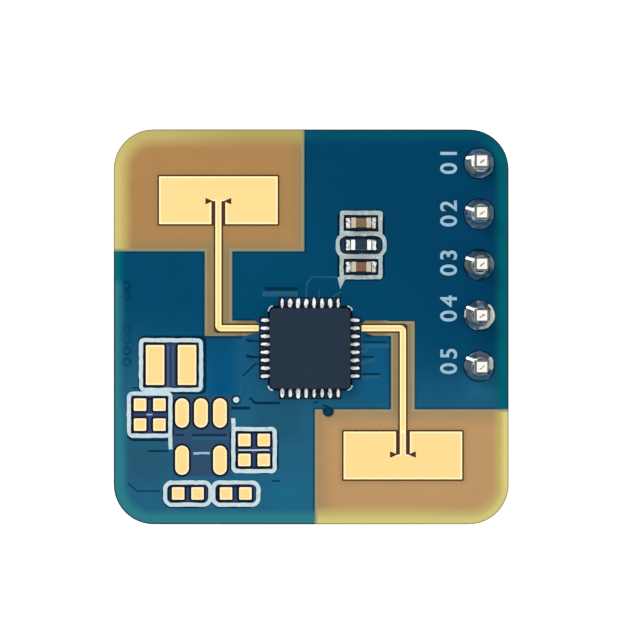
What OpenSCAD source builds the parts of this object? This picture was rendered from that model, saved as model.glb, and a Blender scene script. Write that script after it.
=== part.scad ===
/* [Board] */
// Width of the board, left edge to right edge
board_w = 19.8; // [19.4:0.1:23]
// Height of the board, bottom edge to top edge
board_h = 19.8; // [19.4:0.1:23]
// Radius of the board's four corners
corner_r = 2; // [1:0.1:2.5]
// Thickness of the upper laminate, which carries the antennas
upper_laminate_t = 0.4; // [0.25:0.05:0.8]
// Thickness of the lower laminate, from the copper plane to the back
lower_laminate_t = 0.7; // [0.4:0.05:1.2]
// Thickness of the copper plane between the laminates
plane_t = 0.04; // [0.03:0.005:0.08]
// Thickness of the etched copper on the two faces
copper_t = 0.04; // [0.03:0.005:0.05]
// Thickness of the solder mask where it lies on bare laminate
mask_t = 0.07; // [0.065:0.005:0.1]
// Thickness of the white ink on the mask
ink_t = 0.03; // [0.02:0.005:0.05]
// Strip along the board's edge that holds no copper
copper_inset = 0.6; // [0.4:0.05:0.9]
// Strip along the board's edge that the mask leaves bare
mask_inset = 0.04; // [0.02:0.01:0.1]
// Gap from a pad to the mask round it
mask_gap = 0.06; // [0.03:0.01:0.08]
// Gap from bare pads, antennas and rings to the copper pour
pour_gap = 0.2; // [0.12:0.02:0.3]

/* [Antennas] */
// Width of each antenna patch
patch_w = 5.94; // [5:0.02:6.4]
// Height of each antenna patch
patch_h = 2.39; // [2:0.01:2.8]
// Distance from the board's left edge to the upper patch
upper_patch_side = 2.28; // [1.8:0.01:2.8]
// Distance from the board's top edge to the upper patch
upper_patch_end = 2.36; // [1.8:0.01:2.8]
// Distance from the board's right edge to the lower patch
lower_patch_side = 2.33; // [1.8:0.01:2.8]
// Distance from the board's bottom edge to the lower patch
lower_patch_end = 2.26; // [1.8:0.01:2.8]
// Width of the feed line
feed_w = 0.3; // [0.2:0.01:0.4]
// Width of the notch on each side of the feed line
notch_w = 0.2; // [0.12:0.01:0.3]
// Depth of the notches into the patch
notch_d = 1.15; // [0.8:0.01:1.4]
// Length of the arrow-shaped cut-out at each notch's inner end
arrow_l = 0.4; // [0.2:0.01:0.5]
// Width of the arrow-shaped cut-outs at their base
arrow_w = 0.33; // [0.2:0.01:0.5]
// Width of the bare upper zone, from the board's left edge
upper_zone_w = 9.56; // [9:0.02:10]
// Height of the bare upper zone, from the board's top edge
upper_zone_h = 6.12; // [5.5:0.02:6.6]
// Width of the bare lower zone, from the board's right edge
lower_zone_w = 9.73; // [9:0.01:10.2]
// Height of the bare lower zone, from the board's bottom edge
lower_zone_h = 5.78; // [5.3:0.02:6.2]
// Width of the bare channel along the upper feed
upper_channel_w = 1.4; // [1:0.02:1.6]
// Width of the bare channel along the lower feed
lower_channel_w = 1.22; // [1:0.02:1.4]
// Height of the bare arm from a channel to the chip
arm_h = 0.78; // [0.6:0.02:0.9]
// Distance from the chip's body to the near end of an arm's upper edge
arm_short = 0.75; // [0.6:0.01:0.9]
// Distance from the chip's body to the near end of an arm's lower edge
arm_long = 1.2; // [0.95:0.01:1.5]

/* [Radar chip] */
// Place of the chip's centre, to the right of the board's centre
chip_x = -0.05; // [-0.3:0.01:0.3]
// Place of the chip's centre, above the board's centre
chip_y = -1.07; // [-1.3:0.01:-0.8]
// Side of the chip's square body
chip_w = 4; // [3.9:0.05:4.2]
// Height of the chip's body
chip_h = 0.85; // [0.6:0.05:1.1]
// Spacing of the lands along a side
land_pitch = 0.4; // [0.38:0.01:0.42]
// Width of a land, of its pad and of its joint
land_w = 0.22; // [0.16:0.01:0.25]
// Length of a land under the body
land_l = 0.4; // [0.3:0.01:0.5]
// Thickness of the chip's lands and slug
land_t = 0.2; // [0.12:0.01:0.25]
// Side of the chip's thermal slug
slug_w = 2.6; // [2:0.05:2.8]
// Reach of a chip pad beyond the body
pad_reach = 0.5; // [0.35:0.01:0.6]
// Distance by which a chip pad ends short of its land under the body
pad_short = 0.05; // [0.02:0.01:0.1]
// Cut across the body's corners
chip_cut = 0.14; // [0.08:0.01:0.3]
// Thickness of the solder under every part
solder_t = 0.05; // [0.03:0.01:0.08]
// Share of an end's height that its solder climbs
climb = 0.7; // [0.4:0.05:0.9]

/* [Filter parts] */
// Place of the filter's centre, to the right of the board's centre
filter_x = 2.5; // [2.2:0.05:3]
// Place of the filter's centre, above the board's centre
filter_y = 4.1; // [3.9:0.05:4.8]
// Spacing of the three filter parts
filter_pitch = 1.1; // [1:0.02:1.3]
// Length of a small chip part, over its ends
small_l = 1; // [0.9:0.02:1.1]
// Width of a small chip part
small_w = 0.5; // [0.4:0.01:0.58]
// Height of a capacitor
capacitor_h = 0.5; // [0.3:0.02:0.6]
// Height of a resistor
resistor_h = 0.35; // [0.25:0.01:0.45]
// Length of a capacitor's metal ends
capacitor_end = 0.25; // [0.15:0.01:0.35]
// Length of a resistor's metal ends
resistor_end = 0.2; // [0.12:0.01:0.3]
// Thickness of the metal on the ends
end_t = 0.03; // [0.02:0.005:0.05]
// Reach of a small part's pad beyond its end
small_reach = 0.27; // [0.2:0.01:0.35]
// Reach of a small part's pad under its end
small_under = 0.22; // [0.15:0.01:0.3]
// Width of a small part's pad
small_pad_w = 0.62; // [0.6:0.01:0.7]

/* [Header] */
// Distance from the board's right edge to the row of pins
header_side = 1.48; // [1.35:0.01:2]
// Distance from the board's top edge to the first pin
header_top = 1.71; // [1.5:0.01:2.4]
// Spacing of the pins
pin_pitch = 2.54; // [2.5:0.01:2.6]
// Side of a square pin
pin_w = 0.64; // [0.58:0.01:0.65]
// Length of a pin below the plastic strip
pin_below = 6.1; // [4:0.1:9]
// Length of a pin above the plastic strip
pin_above = 3; // [2.8:0.05:3.6]
// Length of the taper at each end of a pin
pin_taper = 0.3; // [0.2:0.05:0.8]
// Side of a pin's end face
pin_tip = 0.5; // [0.3:0.02:0.56]
// Width of the plastic strip
strip_w = 2.5; // [2.3:0.02:2.54]
// Height of the plastic strip
strip_h = 2.5; // [2:0.05:2.6]
// Depth of the notches between the strip's sections
strip_notch = 0.5; // [0.3:0.05:0.6]
// Clearance round a pin in the plastic strip
pin_fit = 0.01; // [0.005:0.005:0.03]
// Diameter of the drilled holes for the pins
hole_d = 1; // [1:0.02:1.1]
// Thickness of the plating in holes and vias
plating_t = 0.03; // [0.02:0.005:0.035]
// Radius of the copper rings round the pin holes
ring_r = 0.74; // [0.72:0.01:0.9]
// Radius of a solder cone at the board
cone_r = 0.72; // [0.65:0.01:0.78]
// Height of a solder cone above its ring
cone_h = 1; // [0.6:0.05:1.3]

/* [Bare pads] */
// Width of the two coil pads
coil_pad_w = 0.92; // [0.7:0.02:1.1]
// Height of the two coil pads
coil_pad_h = 2; // [1.6:0.02:2.2]
// Spacing of the two coil pads
coil_pitch = 1.6; // [1.3:0.02:1.8]
// Distance from the board's left edge to the middle of the coil pads
coil_side = 2.88; // [2.7:0.02:3.2]
// Distance from the board's bottom edge to the middle of the coil pads
coil_up = 7.99; // [7.8:0.02:8.2]
// Width of the oblong pads
oblong_w = 0.68; // [0.5:0.02:0.8]
// Length of the oblong pads
oblong_l = 1.46; // [1.1:0.02:1.6]
// Spacing of the oblong pads along a row
oblong_pitch = 0.95; // [0.9:0.01:1]
// Spacing of the two rows of oblong pads
oblong_rows = 2.37; // [2.1:0.01:2.5]
// Distance from the board's left edge to the middle of the oblong pads
oblong_side = 4.38; // [4.2:0.02:4.6]
// Distance from the board's bottom edge to the middle of the oblong pads
oblong_up = 4.4; // [4.3:0.02:4.5]
// Width of the small square pads
square_w = 0.62; // [0.5:0.01:0.7]
// Height of the small square pads
square_h = 0.62; // [0.5:0.01:0.7]
// Spacing of the two pads of a pair
pair_pitch = 0.97; // [0.85:0.01:1.05]
// Spacing of the two pairs of a group of four
pair_rows = 1; // [0.85:0.01:1.1]
// Distance from the board's left edge to the middle of the left group
left_side = 1.81; // [1.6:0.01:2]
// Distance from the board's bottom edge to the middle of the left group
left_up = 5.5; // [5.2:0.01:5.6]
// Distance from the board's left edge to the middle of the right group
right_side = 7.04; // [6.9:0.02:7.3]
// Distance from the board's bottom edge to the middle of the right group
right_up = 3.73; // [3.6:0.01:4]
// Distance from the board's left edge to the middle of the first bottom pair
bottom_side = 3.72; // [3.4:0.01:4]
// Distance from the board's bottom edge to the bottom pairs
bottom_up = 1.55; // [1.3:0.01:1.6]
// Spacing of the two bottom pairs
bottom_pitch = 2.4; // [2.3:0.01:2.6]
// Radius of the pads' corners
pad_r = 0.05; // [0.04:0.01:0.15]

/* [Printed outlines] */
// Width of the printed lines
line_w = 0.23; // [0.12:0.01:0.25]
// Gap from a bare pad to the printed outline
print_gap = 0.13; // [0.1:0.01:0.2]
// Gap from a filter pad to the printed outline
filter_gap = 0.09; // [0.08:0.01:0.12]
// Outer radius of the printed outlines' corners
print_r = 0.3; // [0.26:0.01:0.4]
// Outer radius of the bottom outlines' corners
bottom_print_r = 0.45; // [0.3:0.01:0.6]
// Extra length of the bottom outlines
bottom_spare = 0.18; // [0:0.01:0.24]
// Outer radius of the filter outline's corners
filter_print_r = 0.15; // [0.1:0.01:0.3]
// Reach of the filter's outline beyond its sides, at the resistor
bulge = 0.2; // [0.1:0.01:0.25]
// Length of the pointer at the filter's outline
pointer_l = 0.65; // [0.3:0.01:0.7]
// Width of the pointer at the filter's outline
pointer_w = 0.46; // [0.3:0.01:0.5]
// Outer radius of the chip's corner marks
mark_r = 0.3; // [0.2:0.01:0.35]
// Width of the chip's corner marks and of the thin dashes
mark_w = 0.1; // [0.06:0.01:0.14]
// Gap from the chip's body to its corner marks
mark_gap = 0.05; // [0.03:0.01:0.1]
// Radius of the printed dot
dot_r = 0.17; // [0.1:0.01:0.25]
// Length of the dash between the oblong pads
dash_l = 0.85; // [0.6:0.01:0.95]
// Height of the dash between the oblong pads
dash_h = 0.14; // [0.08:0.01:0.2]
// Length of the dash in the left group
short_dash_l = 0.33; // [0.2:0.01:0.5]
// Height of the printed tails by the two groups of four
tail_l = 0.8; // [0.4:0.02:1]

/* [Vias] */
// Radius of a via's drilled hole
via_r = 0.15; // [0.1:0.01:0.18]
// Radius of the copper ring round a via
via_ring_r = 0.22; // [0.19:0.01:0.24]
// Distance from the board's left edge to the row of vias
via_side = 0.67; // [0.6:0.01:0.8]
// Distance from the bare lower zone's side edge to the single via
lone_via_side = 0.69; // [0.5:0.01:0.9]
// Distance from the bare lower zone's top edge down to the single via
lone_via_down = 0.1; // [0.05:0.01:0.2]

/* [Back] */
// Side of the processor's square body
processor_w = 5; // [4.6:0.1:5.4]
// Height of the processor's body
processor_h = 0.85; // [0.6:0.05:1.1]
// Spacing of the processor's lands
processor_pitch = 0.5; // [0.46:0.01:0.52]
// Side of the processor's thermal slug
processor_slug = 3.4; // [2.6:0.1:3.6]
// Length of the crystal
crystal_l = 3.2; // [2.5:0.1:3.6]
// Width of the crystal
crystal_w = 2.5; // [2:0.1:2.8]
// Height of the crystal's ceramic base
crystal_base_h = 0.4; // [0.3:0.05:0.6]
// Height of the crystal's metal lid
crystal_lid_h = 0.3; // [0.15:0.05:0.5]
// Step from the crystal's base to its lid
crystal_step = 0.2; // [0.1:0.02:0.3]
// Length of a crystal pad
crystal_pad_l = 1.15; // [0.8:0.01:1.2]
// Width of a crystal pad
crystal_pad_w = 0.9; // [0.6:0.01:0.95]
// Length of the supply regulator's body
regulator_l = 2.9; // [2.7:0.05:3.1]
// Width of the supply regulator's body
regulator_w = 1.6; // [1.4:0.05:1.7]
// Height of the supply regulator's body
regulator_h = 1; // [0.8:0.05:1.2]
// Width of the supply regulator over its leads
regulator_span = 2.8; // [2.6:0.05:3.1]
// Spacing of the supply regulator's leads
lead_pitch = 0.95; // [0.9:0.01:1]
// Width of a lead
lead_w = 0.4; // [0.3:0.02:0.5]
// Thickness of a lead
lead_t = 0.15; // [0.1:0.01:0.2]
// Gap between the regulator's body and the level of its feet
regulator_gap = 0.1; // [0.05:0.01:0.15]
// Draft of the regulator's body
regulator_draft = 0.08; // [0.04:0.01:0.12]
// Length of a lead's foot
lead_foot = 0.45; // [0.3:0.01:0.5]
// Length of a lead's level part outside the body
lead_out = 0.15; // [0.1:0.01:0.2]
// Depth of a lead's root inside the body
lead_root = 0.2; // [0.1:0.01:0.3]
// Width of a lead's pad
lead_pad_w = 0.5; // [0.5:0.01:0.6]
// Reach of a lead's pad beyond its foot
lead_toe = 0.12; // [0.08:0.01:0.2]

/* [Hidden] */
$fn = 48;

pin_count = 5;
lands_per_side = 8;
cover = 1;
arc_steps = 6;
feed_land = 1;

left = -board_w / 2;
right = board_w / 2;
bottom = -board_h / 2;
top = board_h / 2;
laminate_t = upper_laminate_t + lower_laminate_t;

// The frame's origin is on the middle pin, at the strip's mating face.
header_x = right - header_side;
header_y = top - header_top - (pin_count - 1) / 2 * pin_pitch;
back_z = strip_h + mask_t;
front_z = back_z + laminate_t;
barrel_r = hole_d / 2 - plating_t;
collar_r = pin_w * sqrt(2) / 2 + plating_t / 2;

feed_y = chip_y + ((lands_per_side - 1) / 2 - feed_land) * land_pitch;
upper_patch_x = left + upper_patch_side + patch_w / 2;
upper_patch_y = top - upper_patch_end - patch_h;
lower_patch_x = right - lower_patch_side - patch_w / 2;
lower_patch_y = bottom + lower_patch_end + patch_h;
chip_pad_in = land_l - pad_short;
chip_edge = chip_w / 2 + pad_reach;
chip_area = chip_w + 2 * (pad_reach + pour_gap);

coil_x = left + coil_side;
coil_y = bottom + coil_up;
oblong_x = left + oblong_side;
oblong_y = bottom + oblong_up;
left_x = left + left_side;
left_y = bottom + left_up;
right_x = left + right_side;
right_y = bottom + right_up;
bottom_x = left + bottom_side;
bottom_y = bottom + bottom_up;

coil_area = [coil_pitch + coil_pad_w, coil_pad_h];
oblong_area = [2 * oblong_pitch + oblong_w, oblong_rows + oblong_l];
four_area = [pair_pitch + square_w, pair_rows + square_h];
pair_area = [pair_pitch + square_w, square_h];
filter_row_w = small_l + 2 * small_reach;
filter_area = [filter_row_w, 2 * filter_pitch + small_pad_w];

via_x = left + via_side;
via_places = [
    [via_x, 2.07], [via_x, 1.57], [via_x, -0.11], [via_x, -0.63], [via_x, -1.21], [via_x, -1.76],
    [right - lower_zone_w + lone_via_side, bottom + lower_zone_h - lone_via_down]
];
dot_place = [oblong_x + 1.76, oblong_y + 1.85];
dash_place = [oblong_x + 0.03, oblong_y - 0.83];

processor_x = 0.6;
processor_y = 2.2;
crystal_x = -5.4;
crystal_y = 4.6;
regulator_x = -5.2;
regulator_y = -4.6;
regulator_leads = [[-1, 1], [0, 1], [1, 1], [-1, -1], [1, -1]];
regulator_axis = regulator_gap + regulator_h / 2;
capacitor_places = [
    [-5.4, 1.6], [-3.4, -1.9], [-1.4, -1.9], [0.6, -1.9], [2.6, -1.9],
    [-1.9, -5.8], [-1.9, -3.9]
];
resistor_places = [[4.6, -4.6], [4.6, -6], [2.1, -4.6], [2.1, -6]];

// Placing
module on_board() translate([-header_x, -header_y, 0]) children();
module on_front() on_board() translate([0, 0, front_z]) children();
module on_back() on_board() translate([0, 0, back_z]) mirror([0, 0, 1]) children();
module pin_places() for (i = [0:pin_count - 1])
    translate([header_x, header_y + (i - (pin_count - 1) / 2) * pin_pitch]) children();
module vias() for (p = via_places) translate(p) children();
module both_sides() for (s = [0, 1]) mirror([s, 0, 0]) children();

// Flat shapes
module rounded(w, h, r) {
    square([w - 2 * r, h], center = true);
    square([w, h - 2 * r], center = true);
    for (x = [-1, 1], y = [-1, 1])
        translate([x * (w / 2 - r), y * (h / 2 - r)]) circle(r);
}

module outline(w, h, r) {
    difference() {
        rounded(w, h, r);
        rounded(w - 2 * line_w, h - 2 * line_w, r - line_w);
    }
}

module board_shape(inset) rounded(board_w - 2 * inset, board_h - 2 * inset, corner_r - inset);

module coil_shape(g) {
    for (s = [-1, 1]) translate([coil_x + s * coil_pitch / 2, coil_y])
        rounded(coil_pad_w + 2 * g, coil_pad_h + 2 * g, pad_r + g);
}

module oblong(g) {
    span = oblong_l - oblong_w;
    square([oblong_w + 2 * g, span], center = true);
    for (s = [-1, 1]) translate([0, s * span / 2]) circle(oblong_w / 2 + g);
}

module oblong_shape(g) {
    for (i = [-1:1]) translate([oblong_x + i * oblong_pitch, oblong_y + oblong_rows / 2]) oblong(g);
    for (i = [-1, 1]) translate([oblong_x + i * oblong_pitch, oblong_y - oblong_rows / 2]) oblong(g);
}

module pair(g) {
    for (s = [-1, 1]) translate([s * pair_pitch / 2, 0])
        rounded(square_w + 2 * g, square_h + 2 * g, pad_r + g);
}

module square_shape(g) {
    for (s = [-1, 1]) {
        translate([left_x, left_y + s * pair_rows / 2]) pair(g);
        translate([right_x, right_y + s * pair_rows / 2]) pair(g);
    }
    for (i = [0, 1]) translate([bottom_x + i * bottom_pitch, bottom_y]) pair(g);
}

// Antenna zones that the mask and the pour leave free; grow widens them for the pour
module channel(patch_x, side, channel_w, zone_y, grow) {
    arm_far = abs(patch_x - chip_x) + channel_w / 2 + grow;
    upper_end = chip_w / 2 + arm_short - grow;
    lower_end = chip_w / 2 + arm_long - grow;
    low = feed_y - arm_h / 2 - grow;
    high = feed_y + arm_h / 2 + grow;
    translate([patch_x - channel_w / 2 - grow, min(low, zone_y)])
        square([channel_w + 2 * grow, max(high, zone_y) - min(low, zone_y)]);
    translate([chip_x, 0]) mirror([side < 0 ? 1 : 0, 0]) polygon([
        [arm_far, low], [arm_far, high], [upper_end, high],
        [chip_edge, feed_y + feed_w / 2], [chip_edge, feed_y - feed_w / 2],
        [lower_end, low]
    ]);
}

module antenna_zones(grow) {
    translate([left - cover, top - upper_zone_h - grow])
        square([upper_zone_w + grow + cover, upper_zone_h + grow + cover]);
    translate([right - lower_zone_w - grow, bottom - cover])
        square([lower_zone_w + grow + cover, lower_zone_h + grow + cover]);
    channel(upper_patch_x, -1, upper_channel_w, top - upper_zone_h + grow, grow);
    channel(lower_patch_x, 1, lower_channel_w, bottom + lower_zone_h - grow, grow);
}

// One antenna, drawn with its patch above the feed's corner and the chip to the right
module antenna(run, drop) {
    reach = run - chip_edge;
    difference() {
        translate([-patch_w / 2, drop]) square([patch_w, patch_h]);
        both_sides() {
            translate([feed_w / 2, drop - cover]) square([notch_w, notch_d + cover]);
            translate([feed_w / 2 + notch_w / 2, drop + notch_d])
                polygon([[0, 0], [arrow_l, arrow_w / 2], [arrow_l, -arrow_w / 2]]);
        }
    }
    translate([-feed_w / 2, feed_w / 2]) square([feed_w, drop - feed_w / 2 + notch_d / 2]);
    translate([feed_w / 2, -feed_w / 2]) square([reach - feed_w / 2, feed_w]);
    intersection() {
        translate([feed_w / 2, feed_w / 2]) circle(feed_w);
        translate([-feed_w / 2, -feed_w / 2]) square(feed_w);
    }
}

module upper_antenna_shape() {
    translate([upper_patch_x, feed_y]) antenna(chip_x - upper_patch_x, upper_patch_y - feed_y);
}

module lower_antenna_shape() {
    translate([lower_patch_x, feed_y]) rotate(180)
        antenna(lower_patch_x - chip_x, feed_y - lower_patch_y);
}

// Square leadless package: pads, lands, body and joints
module around_chip(count, pitch) {
    for (side = [0:3], i = [0:count - 1]) rotate(90 * side)
        translate([0, (i - (count - 1) / 2) * pitch]) children();
}

module chip_pad_shape(w, pitch, slug) {
    around_chip(lands_per_side, pitch) translate([w / 2 - chip_pad_in, -land_w / 2])
        square([chip_pad_in + pad_reach, land_w]);
    square(slug, center = true);
}

module chip_openings(w, pitch, slug) {
    row = (lands_per_side - 1) * pitch + land_w;
    for (side = [0:3]) rotate(90 * side)
        translate([w / 2 - chip_pad_in - mask_gap, -row / 2 - mask_gap])
            square([chip_pad_in + pad_reach + 2 * mask_gap, row + 2 * mask_gap]);
    square(slug + 2 * mask_gap, center = true);
}

module chip_lands(w, pitch, slug) {
    seat = copper_t + solder_t;
    translate([0, 0, seat]) linear_extrude(land_t) {
        around_chip(lands_per_side, pitch) translate([w / 2 - land_l, -land_w / 2])
            square([land_l, land_w]);
        square(slug, center = true);
    }
}

module chip_body(w, h, pitch, slug) {
    half = w / 2;
    near = half - chip_cut;
    difference() {
        translate([0, 0, copper_t + solder_t]) linear_extrude(h) polygon([
            [half, near], [near, half], [-near, half], [-half, near],
            [-half, -near], [-near, -half], [near, -half], [half, -near]
        ]);
        chip_lands(w, pitch, slug);
    }
}

// Joint at a part's end: a layer under the part and a hollow fillet up its end face
module joint(under, reach, rise, w) {
    lip = solder_t / 2;
    full = solder_t + rise;
    hollow = [for (i = [0:arc_steps]) let (a = 90 * i / arc_steps)
        [reach * (1 - sin(a)), lip + (full - lip) * (1 - cos(a))]];
    translate([0, w / 2, copper_t]) rotate([90, 0, 0]) linear_extrude(w)
        polygon(concat([[-under, 0], [reach, 0]], hollow, [[0, solder_t], [-under, solder_t]]));
}

module chip_solder(w, pitch, slug) {
    around_chip(lands_per_side, pitch) translate([w / 2, 0, 0])
        joint(chip_pad_in, pad_reach, land_t, land_w);
    translate([-slug / 2, -slug / 2, copper_t]) cube([slug, slug, solder_t]);
}

// Small two-ended parts, lying along X
module small_pad_shape(g) {
    both_sides() translate([small_l / 2 - small_under - g, -small_pad_w / 2 - g])
        square([small_under + small_reach + 2 * g, small_pad_w + 2 * g]);
}

module small_block(l, w, low, h) {
    translate([-l / 2, -w / 2, copper_t + solder_t + low]) cube([l, w, h]);
}

module capacitor_body() {
    small_block(small_l - 2 * end_t, small_w - 2 * end_t, end_t, capacitor_h - 2 * end_t);
}

module capacitor_ends() {
    difference() {
        small_block(small_l, small_w, 0, capacitor_h);
        small_block(small_l - 2 * capacitor_end, small_w + cover, -cover, capacitor_h + 2 * cover);
        capacitor_body();
    }
}

module resistor_core_block() {
    small_block(small_l - 2 * end_t, small_w, end_t, resistor_h - 2 * end_t);
}

module resistor_coat_block() {
    small_block(small_l - 2 * resistor_end, small_w - 2 * end_t, resistor_h - end_t, end_t);
}

module resistor_end_blocks() {
    difference() {
        small_block(small_l, small_w, 0, resistor_h);
        small_block(small_l - 2 * resistor_end, small_w + cover, -cover, resistor_h + 2 * cover);
        resistor_core_block();
    }
}

module small_solder(h) {
    both_sides() translate([small_l / 2, 0, 0])
        joint(small_under, small_reach, h * climb, small_w);
}

module filter_rows(rows) for (i = rows) translate([filter_x, filter_y + i * filter_pitch]) children();

// Crystal: ceramic base with four corner pads, and a metal lid
module crystal_pad_shape(g) {
    for (x = [-1, 1], y = [-1, 1])
        translate([x * (crystal_l - crystal_pad_l) / 2, y * (crystal_w - crystal_pad_w) / 2])
            square([crystal_pad_l + 2 * g, crystal_pad_w + 2 * g], center = true);
}

// Supply regulator: drafted body and gull-wing leads
module regulator_pad_shape(g) {
    for (p = regulator_leads)
        translate([p.x * lead_pitch, p.y * (regulator_span - lead_foot) / 2])
            square([lead_pad_w + 2 * g, lead_foot + 2 * lead_toe + 2 * g], center = true);
}

module tapered(l, h) {
    wide = l / 2;
    slim = wide - regulator_draft;
    low = h / 2 - regulator_draft;
    high = h / 2 + regulator_draft;
    polygon([
        [-slim, 0], [slim, 0], [wide, low], [wide, high],
        [slim, h], [-slim, h], [-wide, high], [-wide, low]
    ]);
}

module lead_profile() {
    root = regulator_w / 2 - lead_root;
    shoulder = regulator_w / 2 + lead_out;
    out = regulator_span / 2;
    heel = out - lead_foot;
    low = regulator_axis - lead_t / 2;
    polygon([
        [root, low], [shoulder, low], [heel, 0], [out, 0], [out, lead_t],
        [heel + lead_t / 2, lead_t], [shoulder + lead_t / 2, low + lead_t],
        [root, low + lead_t]
    ]);
}

module regulator_lead_set() {
    for (p = regulator_leads) translate([p.x * lead_pitch, 0, copper_t + solder_t])
        mirror([0, p.y < 0 ? 1 : 0, 0]) rotate([90, 0, 90])
            translate([0, 0, -lead_w / 2]) linear_extrude(lead_w) lead_profile();
}

// What stands on the back, as areas for its mask and its pour
module back_pad_shapes(g) {
    translate([crystal_x, crystal_y]) crystal_pad_shape(g);
    translate([regulator_x, regulator_y]) regulator_pad_shape(g);
    for (p = concat(capacitor_places, resistor_places)) translate(p) small_pad_shape(g);
}

module back_areas() {
    area = processor_w + 2 * (pad_reach + pour_gap);
    translate([processor_x, processor_y]) square(area, center = true);
    translate([crystal_x, crystal_y])
        square([crystal_l + 2 * pour_gap, crystal_w + 2 * pour_gap], center = true);
    translate([regulator_x, regulator_y]) square([
        2 * lead_pitch + lead_w + 2 * pour_gap, regulator_span + 4 * pour_gap
    ], center = true);
    for (p = concat(capacitor_places, resistor_places)) translate(p)
        square([filter_row_w + 2 * pour_gap, small_pad_w + 2 * pour_gap], center = true);
}

module area_shape(x, y, size, g) {
    translate([x, y]) square([size.x + 2 * g, size.y + 2 * g], center = true);
}

// Laminates, copper and mask
module drilled(z, t) {
    difference() {
        translate([0, 0, z]) linear_extrude(t) board_shape(0);
        pin_places() translate([0, 0, z - cover]) cylinder(d = hole_d, h = t + 2 * cover);
        vias() translate([0, 0, z - cover]) cylinder(r = via_r, h = t + 2 * cover);
    }
}

module plane_sheet() {
    translate([0, 0, -upper_laminate_t - plane_t]) linear_extrude(plane_t) difference() {
        board_shape(copper_inset);
        pin_places() circle(hole_d / 2 + pour_gap);
        vias() circle(via_r);
    }
}

module upper_laminate() color([0.71, 0.55, 0.35]) on_front() drilled(-upper_laminate_t, upper_laminate_t);

module copper_plane() color([0.72, 0.45, 0.25]) on_front() plane_sheet();

module lower_laminate() {
    color([0.74, 0.66, 0.42]) on_front() difference() {
        drilled(-laminate_t, lower_laminate_t);
        plane_sheet();
    }
}

module front_pour_shape() {
    difference() {
        board_shape(copper_inset);
        antenna_zones(pour_gap);
        translate([chip_x, chip_y]) square(chip_area, center = true);
        area_shape(coil_x, coil_y, coil_area, pour_gap);
        area_shape(oblong_x, oblong_y, oblong_area, pour_gap);
        area_shape(left_x, left_y, four_area, pour_gap);
        area_shape(right_x, right_y, four_area, pour_gap);
        for (i = [0, 1]) area_shape(bottom_x + i * bottom_pitch, bottom_y, pair_area, pour_gap);
        area_shape(filter_x, filter_y, filter_area, pour_gap);
        translate([chip_x, feed_y])
            square([chip_w + 2 * arm_long, feed_w + 2 * pour_gap], center = true);
        pin_places() circle(ring_r + pour_gap);
        vias() circle(via_ring_r);
    }
}

module back_pour_shape() {
    difference() {
        board_shape(copper_inset);
        back_areas();
        pin_places() circle(ring_r + pour_gap);
        vias() circle(via_ring_r);
    }
}

module front_pour() color([0.72, 0.45, 0.25]) on_front() linear_extrude(copper_t) front_pour_shape();

module back_pour() color([0.72, 0.45, 0.25]) on_back() linear_extrude(copper_t) back_pour_shape();

module front_mask() {
    color([0.05, 0.3, 0.42]) on_front() difference() {
        linear_extrude(mask_t) {
            difference() {
                board_shape(mask_inset);
                antenna_zones(0);
                coil_shape(mask_gap);
                oblong_shape(mask_gap);
                square_shape(mask_gap);
                filter_rows([-1:1]) small_pad_shape(mask_gap);
                translate([chip_x, chip_y]) chip_openings(chip_w, land_pitch, slug_w);
                pin_places() circle(ring_r + mask_gap);
            }
            vias() circle(via_ring_r + mask_gap);
        }
        linear_extrude(copper_t) {
            front_pour_shape();
            upper_antenna_shape();
            lower_antenna_shape();
            vias() circle(via_ring_r);
        }
    }
}

module back_mask() {
    color([0.05, 0.3, 0.42]) on_back() difference() {
        linear_extrude(mask_t) difference() {
            board_shape(mask_inset);
            back_pad_shapes(mask_gap);
            translate([processor_x, processor_y])
                chip_openings(processor_w, processor_pitch, processor_slug);
            pin_places() circle(ring_r + mask_gap);
        }
        linear_extrude(copper_t) {
            back_pour_shape();
            vias() circle(via_ring_r);
        }
    }
}

module upper_antenna() color([0.95, 0.85, 0.55]) on_front() linear_extrude(copper_t) upper_antenna_shape();

module lower_antenna() color([0.95, 0.85, 0.55]) on_front() linear_extrude(copper_t) lower_antenna_shape();

module barrel(hole_r, bore_r, flange_r) {
    rotate_extrude() polygon([
        [bore_r, -laminate_t - copper_t], [flange_r, -laminate_t - copper_t],
        [flange_r, -laminate_t], [hole_r, -laminate_t], [hole_r, 0],
        [flange_r, 0], [flange_r, copper_t], [bore_r, copper_t]
    ]);
}

module tented_vias() {
    color([0.72, 0.45, 0.25]) on_front() vias()
        barrel(via_r, via_r - plating_t, via_ring_r);
}

module coil_pads() color([0.95, 0.85, 0.55]) on_front() linear_extrude(copper_t) coil_shape(0);

module oblong_pads() color([0.95, 0.85, 0.55]) on_front() linear_extrude(copper_t) oblong_shape(0);

module square_pads() color([0.95, 0.85, 0.55]) on_front() linear_extrude(copper_t) square_shape(0);

// White print
module group_outline(x, y, size, r) {
    grow = 2 * (print_gap + line_w);
    translate([x, y]) outline(size.x + grow, size.y + grow, r);
}

module corner_marks() {
    middle = chip_w / 2 + mark_gap + mark_w - mark_r;
    for (side = [0:3]) rotate(90 * side) translate([middle, middle]) intersection() {
        difference() {
            circle(mark_r);
            circle(mark_r - mark_w);
        }
        square(mark_r + cover);
    }
}

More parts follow.
